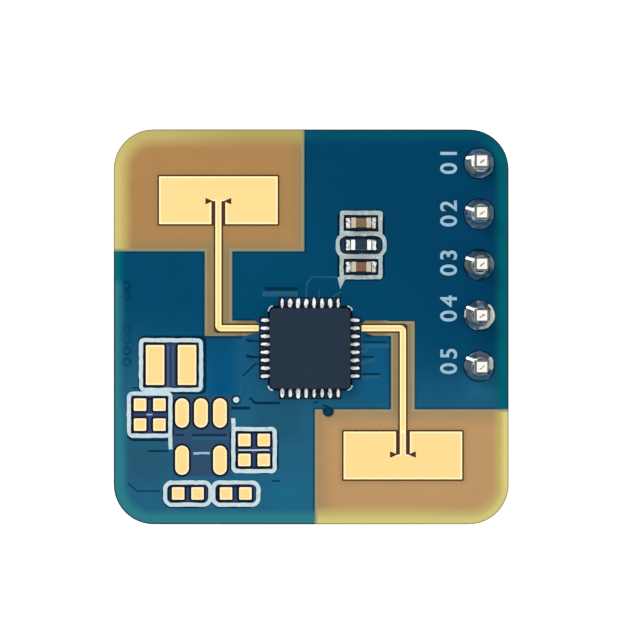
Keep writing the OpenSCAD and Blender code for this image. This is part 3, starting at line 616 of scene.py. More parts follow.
@dataclass(frozen=True)
class Laminate(Finish):
    """Bare laminate: tan over the copper plane, paler and greener along the board's edge."""

    chip: Block = Block(*CHIP, 2.56, 2.56)
    lower_right: Colour = (178, 139, 92)
    # painted soft shade on the laminate round the gold plating
    gold_shade: Colour = (146, 112, 66)
    channel: Colour = (136, 118, 84)
    edge_strip: Colour = (208, 194, 118)
    edge_green: Colour = (186, 172, 92)
    edge_top: Colour = (160, 144, 82)
    edge_bottom: Colour = (188, 178, 112)
    edge_left: Colour = (190, 174, 104)
    outline: Colour = (104, 98, 62)
    zone_rim: Colour = (150, 146, 116)
    # painted shade: near-black laminate at the mask's edge and round the radar chip
    gap_shade: Colour = (16, 22, 40)
    # painted shade line along the foot of the gold plating
    plating_shade: Colour = (66, 42, 18)
    between: Colour = (6, 50, 76)

    def lands(self, x: Term, y: Term) -> Term:
        """Gives where mask shows between the chip's lands.

        Args:
            x: Place along X from the board's middle.
            y: Place along Y from the board's middle.

        Returns:
            1 between two lands and 0 beside them.
        """
        across, along = x - self.chip.x, y - self.chip.y
        gaps = [abs(v.folded(LAND_PITCH)).rise(0.09, 0.05) for v in (across, along)]
        side = (abs(across) - abs(along)).rise(-0.02, 0.02)
        return gaps[0] * (-side + 1.0) + gaps[1] * side

    def paint(self, graph: Graph) -> Socket:
        """Gives the colour: edge strip, zones, channels, and painted shade: a line by the plating,
        a soft band round the gold and near-black laminate round the chip.

        Args:
            graph: The node tree.

        Returns:
            The colour's socket.
        """
        x, y = self.plan(graph)
        edge = -BOARD.distance(x, y)
        depth = edge + graph.clouds(1.2) * 0.12
        near = abs(x).most(abs(y)).rise(4.0, 2.8) * 0.5
        zone = nearest(ZONES, x, y) - near
        feed = nearest(CHANNELS, x, y) - near
        outside = nearest((ZONES[0], ZONES[4]), x, y)
        gap = nearest(PLATED, x, y)
        chip = self.chip.distance(x, y)
        over_chip = chip.rise(0.03, -0.03)
        weave = graph.clouds(0.28, 1.0, (1.0, 3.0)) + graph.clouds(0.28, 1.0, (3.0, 1.0))
        body = graph.layered(
            self.colour,
            ((x * 0.5 - y).rise(-8.0, 8.0), self.lower_right),
            # painted soft shade round the gold plating
            (gap.rise(0.4, 0.05) * 0.4, self.gold_shade),
            (zone.rise(-1.1, -0.1) * 0.5, self.channel),
            (feed.rise(0.2, -0.1) * outside.rise(-0.7, 0.4) * 0.9, self.channel),
        )
        body = graph.shade(body, weave * 0.05 + graph.clouds(2.6, 2.0) * 0.09)
        strip = graph.layered(
            self.edge_strip,
            (depth.rise(0.15, 0.5), self.edge_green),
            ((y - abs(x) * 0.3).rise(4.5, 8.0) * 0.85, self.edge_top),
            ((-y).rise(7.0, 9.5) * 0.5, self.edge_bottom),
            ((-x).rise(3.0, 8.0) * 0.6, self.edge_left),
        )
        return graph.layered(
            strip,
            ((depth + x.rise(5.0, 9.5) * 0.12).rise(0.3, 1.05), body),
            (zone.rise(-0.17, -0.1) * 0.85, self.zone_rim),
            # painted shade just outside the zones
            (zone.rise(0.0, 0.03), self.gap_shade),
            # painted shade line by the plating
            (gap.rise(0.115, 0.06), self.plating_shade),
            # painted shade over the chip's opening
            (over_chip, self.gap_shade),
            (self.lands(x, y) * chip.rise(-0.36, -0.24) * over_chip, self.between),
            (edge.rise(0.075, 0.03) * 0.75, self.outline),
        )


@dataclass(frozen=True)
class Mask(Finish):
    """Blue solder mask: teal along the board's edge, darker in printed windows, and with painted
    shade by pads and print.
    """

    face: Face = Face.FRONT
    upper: Colour = (0, 60, 92)
    lower: Colour = (30, 90, 118)
    edge_dark: Colour = (0, 90, 104)
    edge_top: Colour = (0, 74, 96)
    edge_pale: Colour = (42, 116, 128)
    edge_left: Colour = (0, 104, 108)
    outline: Colour = (2, 48, 56)
    # Painted shade round the via tents, along the print and round the pads
    tent_shade: Colour = (0, 44, 66)
    print_shade: Colour = (4, 22, 44)
    pad_shade: Colour = (6, 10, 28)
    by_zone: Colour = (0, 40, 60)

    def paint(self, graph: Graph) -> Socket:
        """Gives the colour: body, windows, edge strip, the dark line by the zones, and painted
        shade lines by pads, print and via tents.

        Args:
            graph: The node tree.

        Returns:
            The colour's socket.
        """
        x, y = self.plan(graph)
        if self.face is Face.BACK:
            x = -x
        depth = -BOARD.distance(x, y)
        ragged = depth + graph.clouds(1.4) * 0.2
        ragged = ragged + (-x).rise(6.0, 9.0) * y.rise(-6.0, -3.0) * 0.2
        cloud = graph.clouds(1.6, 3.0)
        patches, details = [], []
        if self.face is Face.FRONT:
            for patch, (tone, soft) in zip(PATCHES, PATCH_LOOKS):
                share = patch.distance(x, y).rise(soft, -soft)
                patches.append((share * (cloud * 0.8 + 0.85).clipped(), tone))
            for window, tone in zip(WINDOWS, WINDOW_TONES):
                details.append((window.distance(x, y).rise(0.06, -0.02), tone))
            # painted shade: dark lines round the via tents, the print and the pads
            ring = nearest(RINGS, x, y, lines=True).rise(0.1, 0.03)
            details += [
                (ring * (cloud + 0.5).clipped(), self.tent_shade),
                (nearest(PRINTED, x, y, lines=True).rise(0.1, 0.03) * 0.9, self.print_shade),
                (nearest(PADS, x, y).rise(0.15, 0.06), self.pad_shade),
                (nearest(ZONES, x, y).rise(0.12, 0.02) * 0.75, self.by_zone),
            ]
        body = graph.layered(
            self.colour,
            ((x * 0.6 + y * 0.5 + cloud).rise(0.0, 6.0), self.upper),
            ((y + x * 0.12 + cloud * 2.4).rise(0.4, -5.4), self.lower),
            *patches,
        )
        body = graph.shade(body, cloud * 0.12 + graph.clouds(0.35, 2.0) * 0.05)
        strip = graph.layered(
            self.edge_dark,
            ((y - abs(x) * 0.4).rise(4.5, 6.5), self.edge_top),
            ((-x - y).rise(0.0, 8.0).most((-y).rise(5.0, 9.5)), self.edge_pale),
            ((y - 2.0).rise(0.0, 0.5) * (-x).rise(5.0, 8.0), self.edge_left),
        )
        rims = ((ragged.rise(0.85, 0.3), strip), (depth.rise(0.1, 0.05), self.outline))
        return graph.layered(body, *details, *rims)


@dataclass(frozen=True)
class CutEdge(Finish):
    """Routed edge of the laminate, with its plies of glass cloth."""

    def paint(self, graph: Graph) -> Socket:
        """Gives the colour, with faint plies along the height.

        Args:
            graph: The node tree.

        Returns:
            The colour's socket.
        """
        _, _, z = graph.axes()
        wave = graph.math("SINE", z * 48.0 + graph.clouds(0.8) * 1.5)
        return graph.shade(self.colour, wave * 0.05 + graph.clouds(0.12, 2.0) * 0.2)


@dataclass(frozen=True)
class PinTip(Finish):
    """Plated pin, with the dark cut mark on its end face."""

    # tapered sides painted darker as shade
    taper: Colour = (134, 134, 130)
    cut: Colour = (120, 98, 74)
    taper_level: float = 5.0
    end_level: float = 5.4

    def paint(self, graph: Graph) -> Socket:
        """Gives the colour: bright end face with a cut mark, and tapered sides painted darker as
        shade.

        Args:
            graph: The node tree.

        Returns:
            The colour's socket.
        """
        x, y, z = graph.axes()
        y = y.folded(PIN_PITCH)
        square = abs(x).most(abs(y))
        mark = to_stroke(x, y, (-0.08, -0.1), (0.1, 0.04)) + graph.clouds(0.12, 2.0) * 0.12
        top = z.rise(self.end_level, self.end_level + 0.08)
        face = top * square.rise(0.27, 0.24)
        shaft = z.rise(self.taper_level + 0.1, self.taper_level)
        # painted shade on the tapered sides
        base = graph.layered(self.taper, (face, self.colour), (shaft, self.colour))
        base = graph.shade(base, graph.clouds(0.3, 2.0) * self.mottle)
        return graph.layered(base, (mark.rise(0.06, 0.02) * top * 0.9, self.cut))


@dataclass(frozen=True)
class Gold(Finish):
    """Immersion gold, painted dark as shade where the feeds meet the radar chip."""

    # painted shade where the feeds meet the radar chip
    chip_shade_area: Block = Block(-0.05, -0.07, 2.57, 0.3)
    # rim and feed_rim: painted highlight along the sides of the plating and of the feeds
    rim: Colour = (255, 248, 218)
    feed: Colour = (240, 204, 132)
    feed_rim: Colour = (255, 240, 180)
    chip_shade: Colour = (20, 26, 34)

    def paint(self, graph: Graph) -> Socket:
        """Gives the colour: field, painted highlight rims along the sides, and painted shade at the
        feeds' ends by the chip.

        Args:
            graph: The node tree.

        Returns:
            The colour's socket.
        """
        x, y = self.plan(graph)
        base = graph.shade(self.colour, graph.clouds(self.mottle_size, 3.0) * self.mottle)
        sheet = nearest(PLATED, x, y).most(-nearest(NOTCHES, x, y))
        pads = nearest(GOLD_PADS, x, y)
        side = sheet.least(pads + graph.clouds(0.4, 1.0) * 0.08)
        feed = nearest((PLATED[0], PLATED[3]), x, y).rise(-0.2, 0.1) * pads.rise(0.0, 0.2)
        tone = graph.layered(self.rim, (feed, self.feed_rim))
        return graph.layered(
            base,
            (feed, self.feed),
            # painted highlight rims
            (side.rise(-0.11, -0.05) * (feed * 0.4 + 0.5), tone),
            # painted shade by the chip
            (self.chip_shade_area.distance(x, y).rise(0.03, -0.01), self.chip_shade),
        )


@dataclass(frozen=True)
class GlazedCore(Finish):
    """White ceramic, with the glaze drawn over its upper edges."""

    level: float = 0.0
    glaze: Colour = (30, 48, 62)

    def paint(self, graph: Graph) -> Socket:
        """Gives the colour: white flanks, dark above the level.

        Args:
            graph: The node tree.

        Returns:
            The colour's socket.
        """
        _, _, z = graph.axes((0.0, 0.0, self.level))
        base = graph.shade(self.colour, graph.clouds(self.mottle_size, 2.0) * self.mottle)
        return graph.layered(base, (z.rise(-0.03, -0.01), self.glaze))


@dataclass(frozen=True)
class Broken(Finish):
    """Solder painted with its mirror images: a white painted glint broken by dark painted
    reflections.
    """

    share: float = 0.55
    cut: float = 0.1
    # colour of the dark painted reflections
    dark: Colour = (64, 68, 74)

    def paint(self, graph: Graph) -> Socket:
        """Gives the colour: a white painted glint with dark painted reflections inside it.

        Args:
            graph: The node tree.

        Returns:
            The colour's socket.
        """
        base = graph.shade(self.colour, graph.clouds(self.mottle_size, 2.0) * self.mottle)
        patch = graph.clouds(0.13, 2.0).rise(self.cut, self.cut + 0.12)
        return graph.layered(base, (patch * self.share, self.dark))


@dataclass(frozen=True)
class ConeSolder(Finish):
    """Solder round the pins, with painted reflections: flanks that mirror the mask, a painted shade
    ring at the tip, and each joint's own painted marks.
    """

    # Painted reflections of the mask and surround, a painted shade ring at the tip, and the lamps'
    # painted glint
    mask: Colour = (0, 60, 94)
    flank: Colour = (158, 180, 192)
    tip_shade: Colour = (14, 32, 48)
    lamp: Colour = (255, 255, 250)
    lit_from: int = 220

    def marks(self, graph: Graph, least: int = 0) -> list[tuple[Term, Colour]]:
        """Lists the marks of the joints, which are painted reflections, glints and shade.

        Args:
            graph: The node tree.
            least: The darkest channel that a listed mark's colour needs.

        Returns:
            Where each mark shows, and its colour.
        """
        x, row, _ = graph.axes()
        return [
            (mark.share_at(graph, x, row - (PIN_COUNT // 2 - k) * PIN_PITCH), mark.colour)
            for k, joint in enumerate(JOINT_MARKS)
            for mark in joint
            if min(mark.colour) >= least
        ]

    def covered(self, graph: Graph, least: int) -> Term:
        """Gives 1 on marks whose darkest channel is high enough, and 0 beside them."""
        return reduce(Term.most, [share for share, _ in self.marks(graph, least)])

    def paint(self, graph: Graph) -> Socket:
        """Gives the colour: flanks with painted reflections, the painted shade ring at the tip and
        the painted marks.

        Args:
            graph: The node tree.

        Returns:
            The colour's socket.
        """
        x, row, _ = graph.axes()
        y = row.folded(PIN_PITCH)
        soft = (x * x + y * y).root() + graph.clouds(0.4, 2.0) * 0.2
        # painted shade ring round the pin's tip
        ring = abs(x - 0.1).most(abs(y)).rise(0.46, 0.36) * 0.75
        layers = ((soft.rise(0.76, 0.56), self.flank), (ring, self.tip_shade))
        return graph.layered(self.mask, *layers, *self.marks(graph))

    def glow(self, graph: Graph) -> Socket:
        """Gives the painted glow of the pale marks, which stand for the lamps' mirror images."""
        return graph.layered((0, 0, 0), (self.covered(graph, self.lit_from), self.lamp))

    def metal(self, graph: Graph) -> Term:
        """Gives bare metal outside the marks."""
        return (self.covered(graph, 0) - 1.0) * -self.metallic


@dataclass(frozen=True)
class Ink(Finish):
    """Printed ink, greyer round the filter parts and bluer in the thin dashes."""

    grey_area: Block = Block(2.5, 4.0, 1.6, 2.2)
    grey: Colour = (166, 180, 178)
    pale: Colour = (206, 226, 228)
    dull: Colour = (140, 164, 172)
    dash: Colour = (142, 176, 212)

    def paint(self, graph: Graph) -> Socket:
        """Gives the colour, with a worn, uneven tone along the lines.

        Args:
            graph: The node tree.

        Returns:
            The colour's socket.
        """
        x, y = self.plan(graph)
        worn = graph.clouds(0.22, 3.0)
        return graph.layered(
            self.colour,
            (self.grey_area.distance(x, y).rise(0.1, -0.1), self.grey),
            (worn.rise(0.02, 0.2) * 0.6, self.pale),
            (worn.rise(-0.05, -0.2) * 0.4, self.dull),
            (nearest(THIN_PRINT, x, y).rise(0.05, -0.02), self.dash),
        )


# Modelling by operators


def take(*pieces: Piece) -> None:
    """Selects these objects alone and makes the first one active."""
    bpy.ops.object.select_all(action="DESELECT")
    for piece in pieces:
        piece.select_set(True)
    bpy.context.view_layer.objects.active = pieces[0]


def pick(action: str = "SELECT") -> None:
    """Selects all of the mesh in edit mode, or nothing."""
    bpy.ops.mesh.select_all(action=action)


@contextmanager
def editing(piece: Piece) -> Iterator[bmesh.types.BMesh]:
    """Opens a piece in edit mode, with all of it selected.

    Args:
        piece: The piece.

    Yields:
        Its edit mesh, whose selection the operators act on.
    """
    take(piece)
    bpy.ops.object.mode_set(mode="EDIT")
    bpy.ops.mesh.select_mode(type="FACE")
    pick()
    try:
        yield bmesh.from_edit_mesh(piece.data)
    finally:
        bpy.ops.object.mode_set(mode="OBJECT")


def settle(piece: Piece, name: str, finish: Finish) -> Piece:
    """Puts a piece's place into its mesh, names it, dresses it and lets it ride.

    Args:
        piece: The piece.
        name: Its name.
        finish: Its finish.

    Returns:
        The piece.
    """
    take(piece)
    bpy.ops.object.transform_apply(location=True, rotation=True, scale=True)
    piece.name = name
    piece.data.name = name
    piece.data.materials.clear()
    piece.data.materials.append(finish.material())
    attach(piece, "root")
    log.info("%s: %d faces", name, len(piece.data.polygons))
    return piece


def joined(pieces: Sequence[Piece]) -> Piece:
    """Joins several pieces into the first."""
    take(*pieces)
    bpy.ops.object.join()
    return bpy.context.view_layer.objects.active


def repeated(piece: Piece, count: int) -> list[Piece]:
    """Shades a piece smooth and gives it with copies, each with its own mesh.

    Args:
        piece: The piece.
        count: How many there are to be with the piece itself.

    Returns:
        All of them, at the same place.
    """
    take(piece)
    bpy.ops.object.shade_smooth()
    pieces = [piece]
    for _ in range(count - 1):
        twin = piece.copy()
        twin.data = piece.data.copy()
        bpy.context.scene.collection.objects.link(twin)
        pieces.append(twin)
    return pieces


def loose_copy(node: Piece) -> Piece:
    """Copies a CAD node as a free piece with merged corners and whole flat faces.

    Args:
        node: The CAD node.

    Returns:
        The free piece.
    """
    twin = bpy.data.objects.new(node.name + "_copy", node.data.copy())
    bpy.context.scene.collection.objects.link(twin)
    with editing(twin):
        bpy.ops.mesh.remove_doubles(threshold=MERGE_WITHIN)
        bpy.ops.mesh.dissolve_limited(angle_limit=math.radians(1.0))
    return twin


def soften(node: Piece, width: float) -> None:
    """Rounds a CAD node's edges with modifiers, its mesh left as it is.

    Args:
        node: The CAD node's object.
        width: Width of the rounding in millimetres.
    """
    weld = node.modifiers.new("merge", "WELD")
    weld.merge_threshold = MERGE_WITHIN
    bevel = node.modifiers.new("round", "BEVEL")
    bevel.width = width * MM
    bevel.segments = 2
    bevel.limit_method = "ANGLE"
    bevel.angle_limit = math.radians(35)


def wobble(piece: Piece, amount: float, size: float, seed: int, flat: bool = False) -> None:
    """Moves a mesh's points a little, as hand work or reflowed metal is uneven.

    Args:
        piece: The piece.
        amount: Largest move in millimetres.
        size: Size of the waves in millimetres.
        seed: Number that picks the waves.
        flat: Whether points move in the board's plane only.
    """
    shift = Vector((seed * 17.3, seed * 5.1, seed * 9.7))
    for vertex in piece.data.vertices:
        wave = noise.noise_vector(vertex.co / (size * MM) + shift)
        if flat:
            wave.z = 0.0
        vertex.co += wave * (amount * MM)


# The object's sub-assemblies


@dataclass
class Module:
    """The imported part: its nodes and the board's place in the frame."""

    nodes: dict[str, Piece]
    centre: Vector = field(init=False)
    front: float = field(init=False)

    def __post_init__(self) -> None:
        """Reads the board's middle and its front level, in millimetres."""
        low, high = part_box("upper_laminate")
        self.centre = (low + high) / 2 / MM
        self.front = high.z / MM

    def at(self, x: float, y: float, level: float) -> Vector:
        """Gives the point in metres that lies so many millimetres from the board's middle."""
        return Vector((self.centre.x + x, self.centre.y + y, self.front + level)) * MM

    def at_pixel(self, px: float, py: float, level: float) -> Vector:
        """Gives a point on the board from its place in the 640-pixel picture."""
        x, y = px - BOARD_PIXEL[0], BOARD_PIXEL[1] - py
        return self.at(x / PIXELS_PER_MM, y / PIXELS_PER_MM, level)


@dataclass
class Finishes:
    """Every finish of the object, and the CAD nodes that wear them."""

    module: Module
    by_node: dict[str, Finish] = field(default_factory=dict)

    def worn(self, nodes: str, finish: Finish) -> Finish:
        """Notes the CAD nodes that wear a finish.

        Args:
            nodes: Their names.
            finish: The finish.

        Returns:
            The finish.
        """
        self.by_node.update(dict.fromkeys(nodes.split(), finish))
        return finish

    def __post_init__(self) -> None:
        """Makes the finishes, those with a plan from the board's middle first."""
        plan = {"centre": (self.module.centre.x, self.module.centre.y)}
        film = {"scuff": 0.05, "grain": 0.0012, "grain_size": 0.3, **plan}
        ink = {"roughness": 0.8, "specular": 0.1, "grain": 0.004, "grain_size": 0.07}
        mould = {"mottle": 0.14, "grain": 0.004, "grain_size": 0.04}
        fired = {"roughness": 0.6, "mottle": 0.4, "mottle_size": 0.12, "specular": 0.15}
        trace = {"mottle": 0.3, "mottle_size": 0.3}
        bead = {
            "metallic": 0.1, "roughness": 0.35, "mottle_size": 0.14, "grain": 0.0, "scuff": 0.08
        }
        self.worn("upper_laminate", Laminate(
            "tan_laminate", (164, 124, 73), specular=0.12, grain=0.003, grain_size=0.12, **plan
        ))
        self.front_mask = self.worn("front_mask", Mask(
            "front_mask_film", (0, 68, 99), roughness=0.45, specular=0.02, **film
        ))
        self.worn("back_mask", Mask(
            "back_mask_film", (0, 72, 106), roughness=0.36, specular=0.3, face=Face.BACK, **film
        ))
        self.ink = self.worn("printed_outlines", Ink("white_ink", (190, 209, 213), **ink, **plan))
        self.label_ink = Finish("label_ink", (150, 184, 200), mottle=0.4, mottle_size=0.3, **ink)
        gold_nodes = "upper_antenna lower_antenna coil_pads oblong_pads square_pads"
        self.gold = self.worn(gold_nodes + " header_barrels back_pads", Gold(
            "gold_field", (250, 206, 137), metallic=0.2, roughness=0.6, mottle=0.03,
            mottle_size=1.6, grain=0.001, grain_size=0.08, scuff=0.08, specular=0.2, **plan,
        ))
        self.worn("lower_laminate", CutEdge(
            "cut_laminate", (188, 176, 118), roughness=0.6, grain=0.006, grain_size=0.05
        ))
        self.worn("copper_plane front_pour back_pour tented_vias", Finish(
            "etched_copper", (170, 110, 72), metallic=1.0, roughness=0.45
        ))
        self.worn(" ".join(f"header_pin_{i + 1}" for i in range(PIN_COUNT)), PinTip(
            "tinned_pin", (234, 230, 221), metallic=0.3, roughness=0.4, mottle=0.12,
            mottle_size=0.25,
        ))
        # cone solder with painted reflections, and painted glints that glow
        self.cone = ConeSolder(
            "cone_solder", (196, 200, 202), metallic=0.9, roughness=0.3, grain_size=0.2,
            specular=0.3, glow_strength=0.45,
        )
        self.worn("radar_chip_body", Finish(
            "radar_mould", (34, 47, 62), roughness=0.75, mottle=0.14, mottle_size=1.3,
            grain=0.003, grain_size=0.04, specular=0.06,
        ))
        self.worn("processor_body", Finish("processor_mould", (30, 32, 34), roughness=0.6, **mould))
        self.worn("supply_regulator_body", Finish(
            "regulator_mould", (32, 32, 34), roughness=0.55, **mould
        ))
        tin_nodes = "radar_chip_lands processor_lands supply_regulator_leads"
        self.worn(tin_nodes + " back_capacitor_ends back_resistor_ends", Finish(
            "matte_tin", (202, 198, 188), metallic=0.75, roughness=0.42, mottle=0.2,
            mottle_size=0.2, grain_size=0.04,
        ))
        soldered = "radar_chip filter header processor crystal supply_regulator back"
        self.worn(" ".join(name + "_solder" for name in soldered.split()), Finish(
            "bright_solder", (236, 238, 238), metallic=0.85, roughness=0.2, mottle=0.12,
            mottle_size=0.15, grain=0.001, grain_size=0.12,
        ))
        # joints painted with white glints and dark reflections
        self.joint = self.worn("resistor_ends", Broken(
            "white_solder", (252, 253, 253), mottle=0.15, **bead
        ))
        # filter joints painted with white glints and dark reflections
        self.filter_joint = Broken(
            "filter_solder_bright", (252, 252, 250), mottle=0.2, share=0.8, cut=0.02, **bead
        )
        # pads round the joints painted near-black as shade
        self.worn("radar_chip_pads filter_pads", Finish(
            "painted_shade_pad", (22, 28, 36), metallic=0.2, mottle=0.3, specular=0.2
        ))
        self.worn("upper_capacitor_ends lower_capacitor_ends", Finish(
            "part_end", (186, 176, 160), metallic=0.2, mottle=0.35, mottle_size=0.12, grain=0.001,
            specular=0.3,
        ))
        self.worn("upper_capacitor_body back_capacitor_bodies", Finish(
            "tan_ceramic", (124, 96, 68), **fired
        ))
        self.worn("lower_capacitor_body", Finish("red_ceramic", (126, 84, 64), **fired))
        self.worn("back_resistor_cores", Finish(
            "white_ceramic", (228, 228, 222), roughness=0.6, mottle=0.06
        ))
        self.worn("resistor_core", GlazedCore(
            "glazed_core", (228, 228, 222), specular=0.2, mottle=0.06,
            level=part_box("resistor_core")[1].z / MM,
        ))
        self.worn("resistor_coat back_resistor_coats", Finish(
            "resistor_glaze", (30, 48, 62), roughness=0.4, specular=0.15, mottle=0.12
        ))
        self.worn("header_strip", Finish(
            "header_plastic", (24, 24, 26), mottle=0.12, grain=0.006, grain_size=0.08
        ))
        self.worn("crystal_base", Finish("crystal_ceramic", (94, 88, 80), roughness=0.6))
        self.worn("crystal_lid", Finish(
            "crystal_lid", (206, 206, 200), metallic=1.0, roughness=0.34, mottle=0.08,
            grain_size=0.05, drawn=(6.0, 1.0),
        ))
        self.traces = {
            "dark": Finish("trace_dark", (0, 42, 66), specular=0.03, **trace),
            "pale": Finish("trace_pale", (20, 86, 116), roughness=0.4, specular=0.12, **trace),
            "navy": Finish("trace_navy", (72, 88, 128), roughness=0.4, specular=0.12, **trace),
        }


@dataclass
class Assembly:
    """A group of pieces on the module."""

    module: Module
    finishes: Finishes


@dataclass
class CadParts(Assembly):
    """The CAD nodes that stay in sight, with their finishes and rounded edges."""

    rounded: tuple[tuple[float, str], ...] = (
        (0.03, "resistor_ends crystal_base back_resistor_ends"),
        (0.04, "radar_chip_body processor_body back_capacitor_ends"),
        (0.05, "upper_capacitor_ends lower_capacitor_ends supply_regulator_body crystal_lid"),
        (0.06, "header_strip"),
    )

    def build(self) -> None:
        """Gives each node its finish, and rounds the edges that catch the light."""
        for name, finish in self.finishes.by_node.items():
            materials = self.module.nodes[name].data.materials
            materials.clear()
            materials.append(finish.material())
        for width, names in self.rounded:
            for name in names.split():
                soften(self.module.nodes[name], width)
        log.info("dressed %d CAD nodes", len(self.finishes.by_node))


@dataclass
class PlatedCopper(Assembly):
    """Gold-plated antennas and bare pads, each with a low shoulder and a pale rim painted as a
    highlight.
    """

    names: tuple[str, ...] = (
        "upper_antenna", "lower_antenna", "coil_pads", "oblong_pads", "square_pads"
    )
    shoulder: float = 0.04
    crown: float = 0.004

    def build(self) -> None:
        """Makes each plated piece from its node, with a low shoulder along its sides."""
        for name in self.names:
            piece = loose_copy(self.module.nodes[name])
            take(piece)
            bpy.ops.mesh.customdata_custom_splitnormals_clear()
            with editing(piece) as mesh:
                pick("DESELECT")
                for face in mesh.faces:
                    if face.normal.z > 0.9:
                        face.select_set(True)
                bmesh.update_edit_mesh(piece.data)
                bpy.ops.mesh.inset(thickness=self.shoulder * MM, depth=self.crown * MM)
            bpy.ops.object.shade_flat()
            settle(piece, name + "_plated", self.finishes.gold)
            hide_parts(name)


@dataclass
class ChipJoints(Assembly):
    """Reflowed joints round the radar chip, bright with painted glints."""

    half_body: float = 2.0
    count: int = 8
    size: tuple[float, float, float] = (0.46, 0.18, 0.13)
    sunk: float = 0.42
    outward: float = 0.02
    uneven: Point = (0.035, 0.11)
    stretch: float = 0.35

    def blob(self) -> Piece:
        """Makes one even joint that lies along X at the origin.

        Returns:
            The joint.
        """
        bpy.ops.mesh.primitive_cube_add(size=2 * MM)
        piece = bpy.context.active_object
        middle = (0.0, 0.0, 0.0)
        with editing(piece):
            bpy.ops.mesh.subdivide(number_cuts=5)
            bpy.ops.transform.tosphere(value=0.86, center_override=middle)
            halves = [s / 2 for s in self.size]
            bpy.ops.transform.resize(value=halves, center_override=middle)
        factors = []
        for axis, size in enumerate(self.size):
            places = [v.co[axis] for v in piece.data.vertices]
            factors.append(size * MM / (max(places) - min(places)))
        piece.data.transform(Matrix.Diagonal((*factors, 1.0)))
        return piece

    def build(self) -> None:
        """Places a joint at each land and joins them into one piece."""
        length, _, height = self.size
        level = Layer.COPPER.value + height * self.sunk
        out = self.half_body + self.outward + length / 2
        pieces = repeated(self.blob(), 4 * self.count)
        for k, piece in enumerate(pieces):
            side, i = divmod(k, self.count)
            wobble(piece, *self.uneven, side * 11 + i)
            if side % 2:
                factor = noise.noise_vector(Vector((side * 2.3, i * 1.7, 0.4))) * self.stretch
                piece.data.transform(Matrix.Diagonal((1 + factor.x, 1 + factor.y, 1.0, 1.0)))
            turn = Matrix.Rotation(math.radians(90 * side), 4, "Z")
            spot = turn @ Vector((out, (i - (self.count - 1) / 2) * LAND_PITCH, 0.0))
            place = self.module.at(CHIP[0] + spot.x, CHIP[1] + spot.y, level)
            piece.data.transform(Matrix.Translation(place) @ turn)
        whole = joined(pieces)
        settle(whole, "radar_chip_joints", self.finishes.joint)
        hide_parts("radar_chip_solder")


@dataclass
class FilterJoints(Assembly):
    """Reflowed joints at the ends of the three filter parts."""

    centre: Point = (2.5, 4.1)
    pitch: float = 1.1
    half_part: float = 0.5
    reach: float = 0.22
    width: float = 0.5
    gap: float = 0.045
    heights: tuple[tuple[float, tuple[int, ...]], ...] = ((0.34, (-1, 1)), (0.26, (0,)))
    hollow: float = 1.6
    waist: float = 0.28
    uneven: Point = (0.045, 0.16)

    def joint(self, side: int, rise: float) -> Piece:
        """Makes one even joint at the origin, hollow on top and narrower at its outer end.

        Args:
            side: 1 for the right end of a part and -1 for the left.
            rise: Its height in millimetres.

        Returns:
            The joint.
        """
        bpy.ops.mesh.primitive_cube_add(size=1.0)
        piece = bpy.context.active_object
        with editing(piece):
            bpy.ops.mesh.subdivide(number_cuts=3)
            bpy.ops.transform.resize(value=(self.reach * MM, self.width * MM, rise * MM))
        for v in piece.data.vertices:
            out = min(1.0, max(0.0, v.co.x * side / (self.reach * MM) + 0.5))
            if v.co.z > 0:
                v.co.z = ((1 - out) ** self.hollow * 0.9 - 0.4) * rise * MM
            v.co.x *= 1 - self.waist * (1 - (2 * abs(v.co.y) / (self.width * MM)) ** 2) * out
        smooth = piece.modifiers.new("smooth", "SUBSURF")
        smooth.levels = smooth.render_levels = 1
        take(piece)
        bpy.ops.object.modifier_apply(modifier="smooth")
        return piece

    def placed(self, piece: Piece, side: int, row: int, rise: float) -> Piece:
        """Makes a joint uneven and moves it to its part's end.

        Args:
            piece: The joint at the origin.
            side: 1 for the right end of the part and -1 for the left.
            row: The part, -1, 0 or 1 from the lowest.
            rise: The joint's height in millimetres.

        Returns:
            The joint.
        """
        wobble(piece, *self.uneven, 5 + row * 3 + side)
        x = self.centre[0] + side * (self.half_part + self.reach / 2 + self.gap)
        y = self.centre[1] + row * self.pitch
        spot = self.module.at(x, y, Layer.COPPER.value + rise / 2)
        piece.data.transform(Matrix.Translation(spot))
        return piece

    def build(self) -> None:
        """Makes an uneven joint at each end and joins them."""
        whole = joined([
            self.placed(piece, side, row, rise)
            for side in (-1, 1)
            for rise, rows in self.heights
            for row, piece in zip(rows, repeated(self.joint(side, rise), len(rows)))
        ])
        settle(whole, "filter_joints", self.finishes.filter_joint)
        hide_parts("filter_solder")


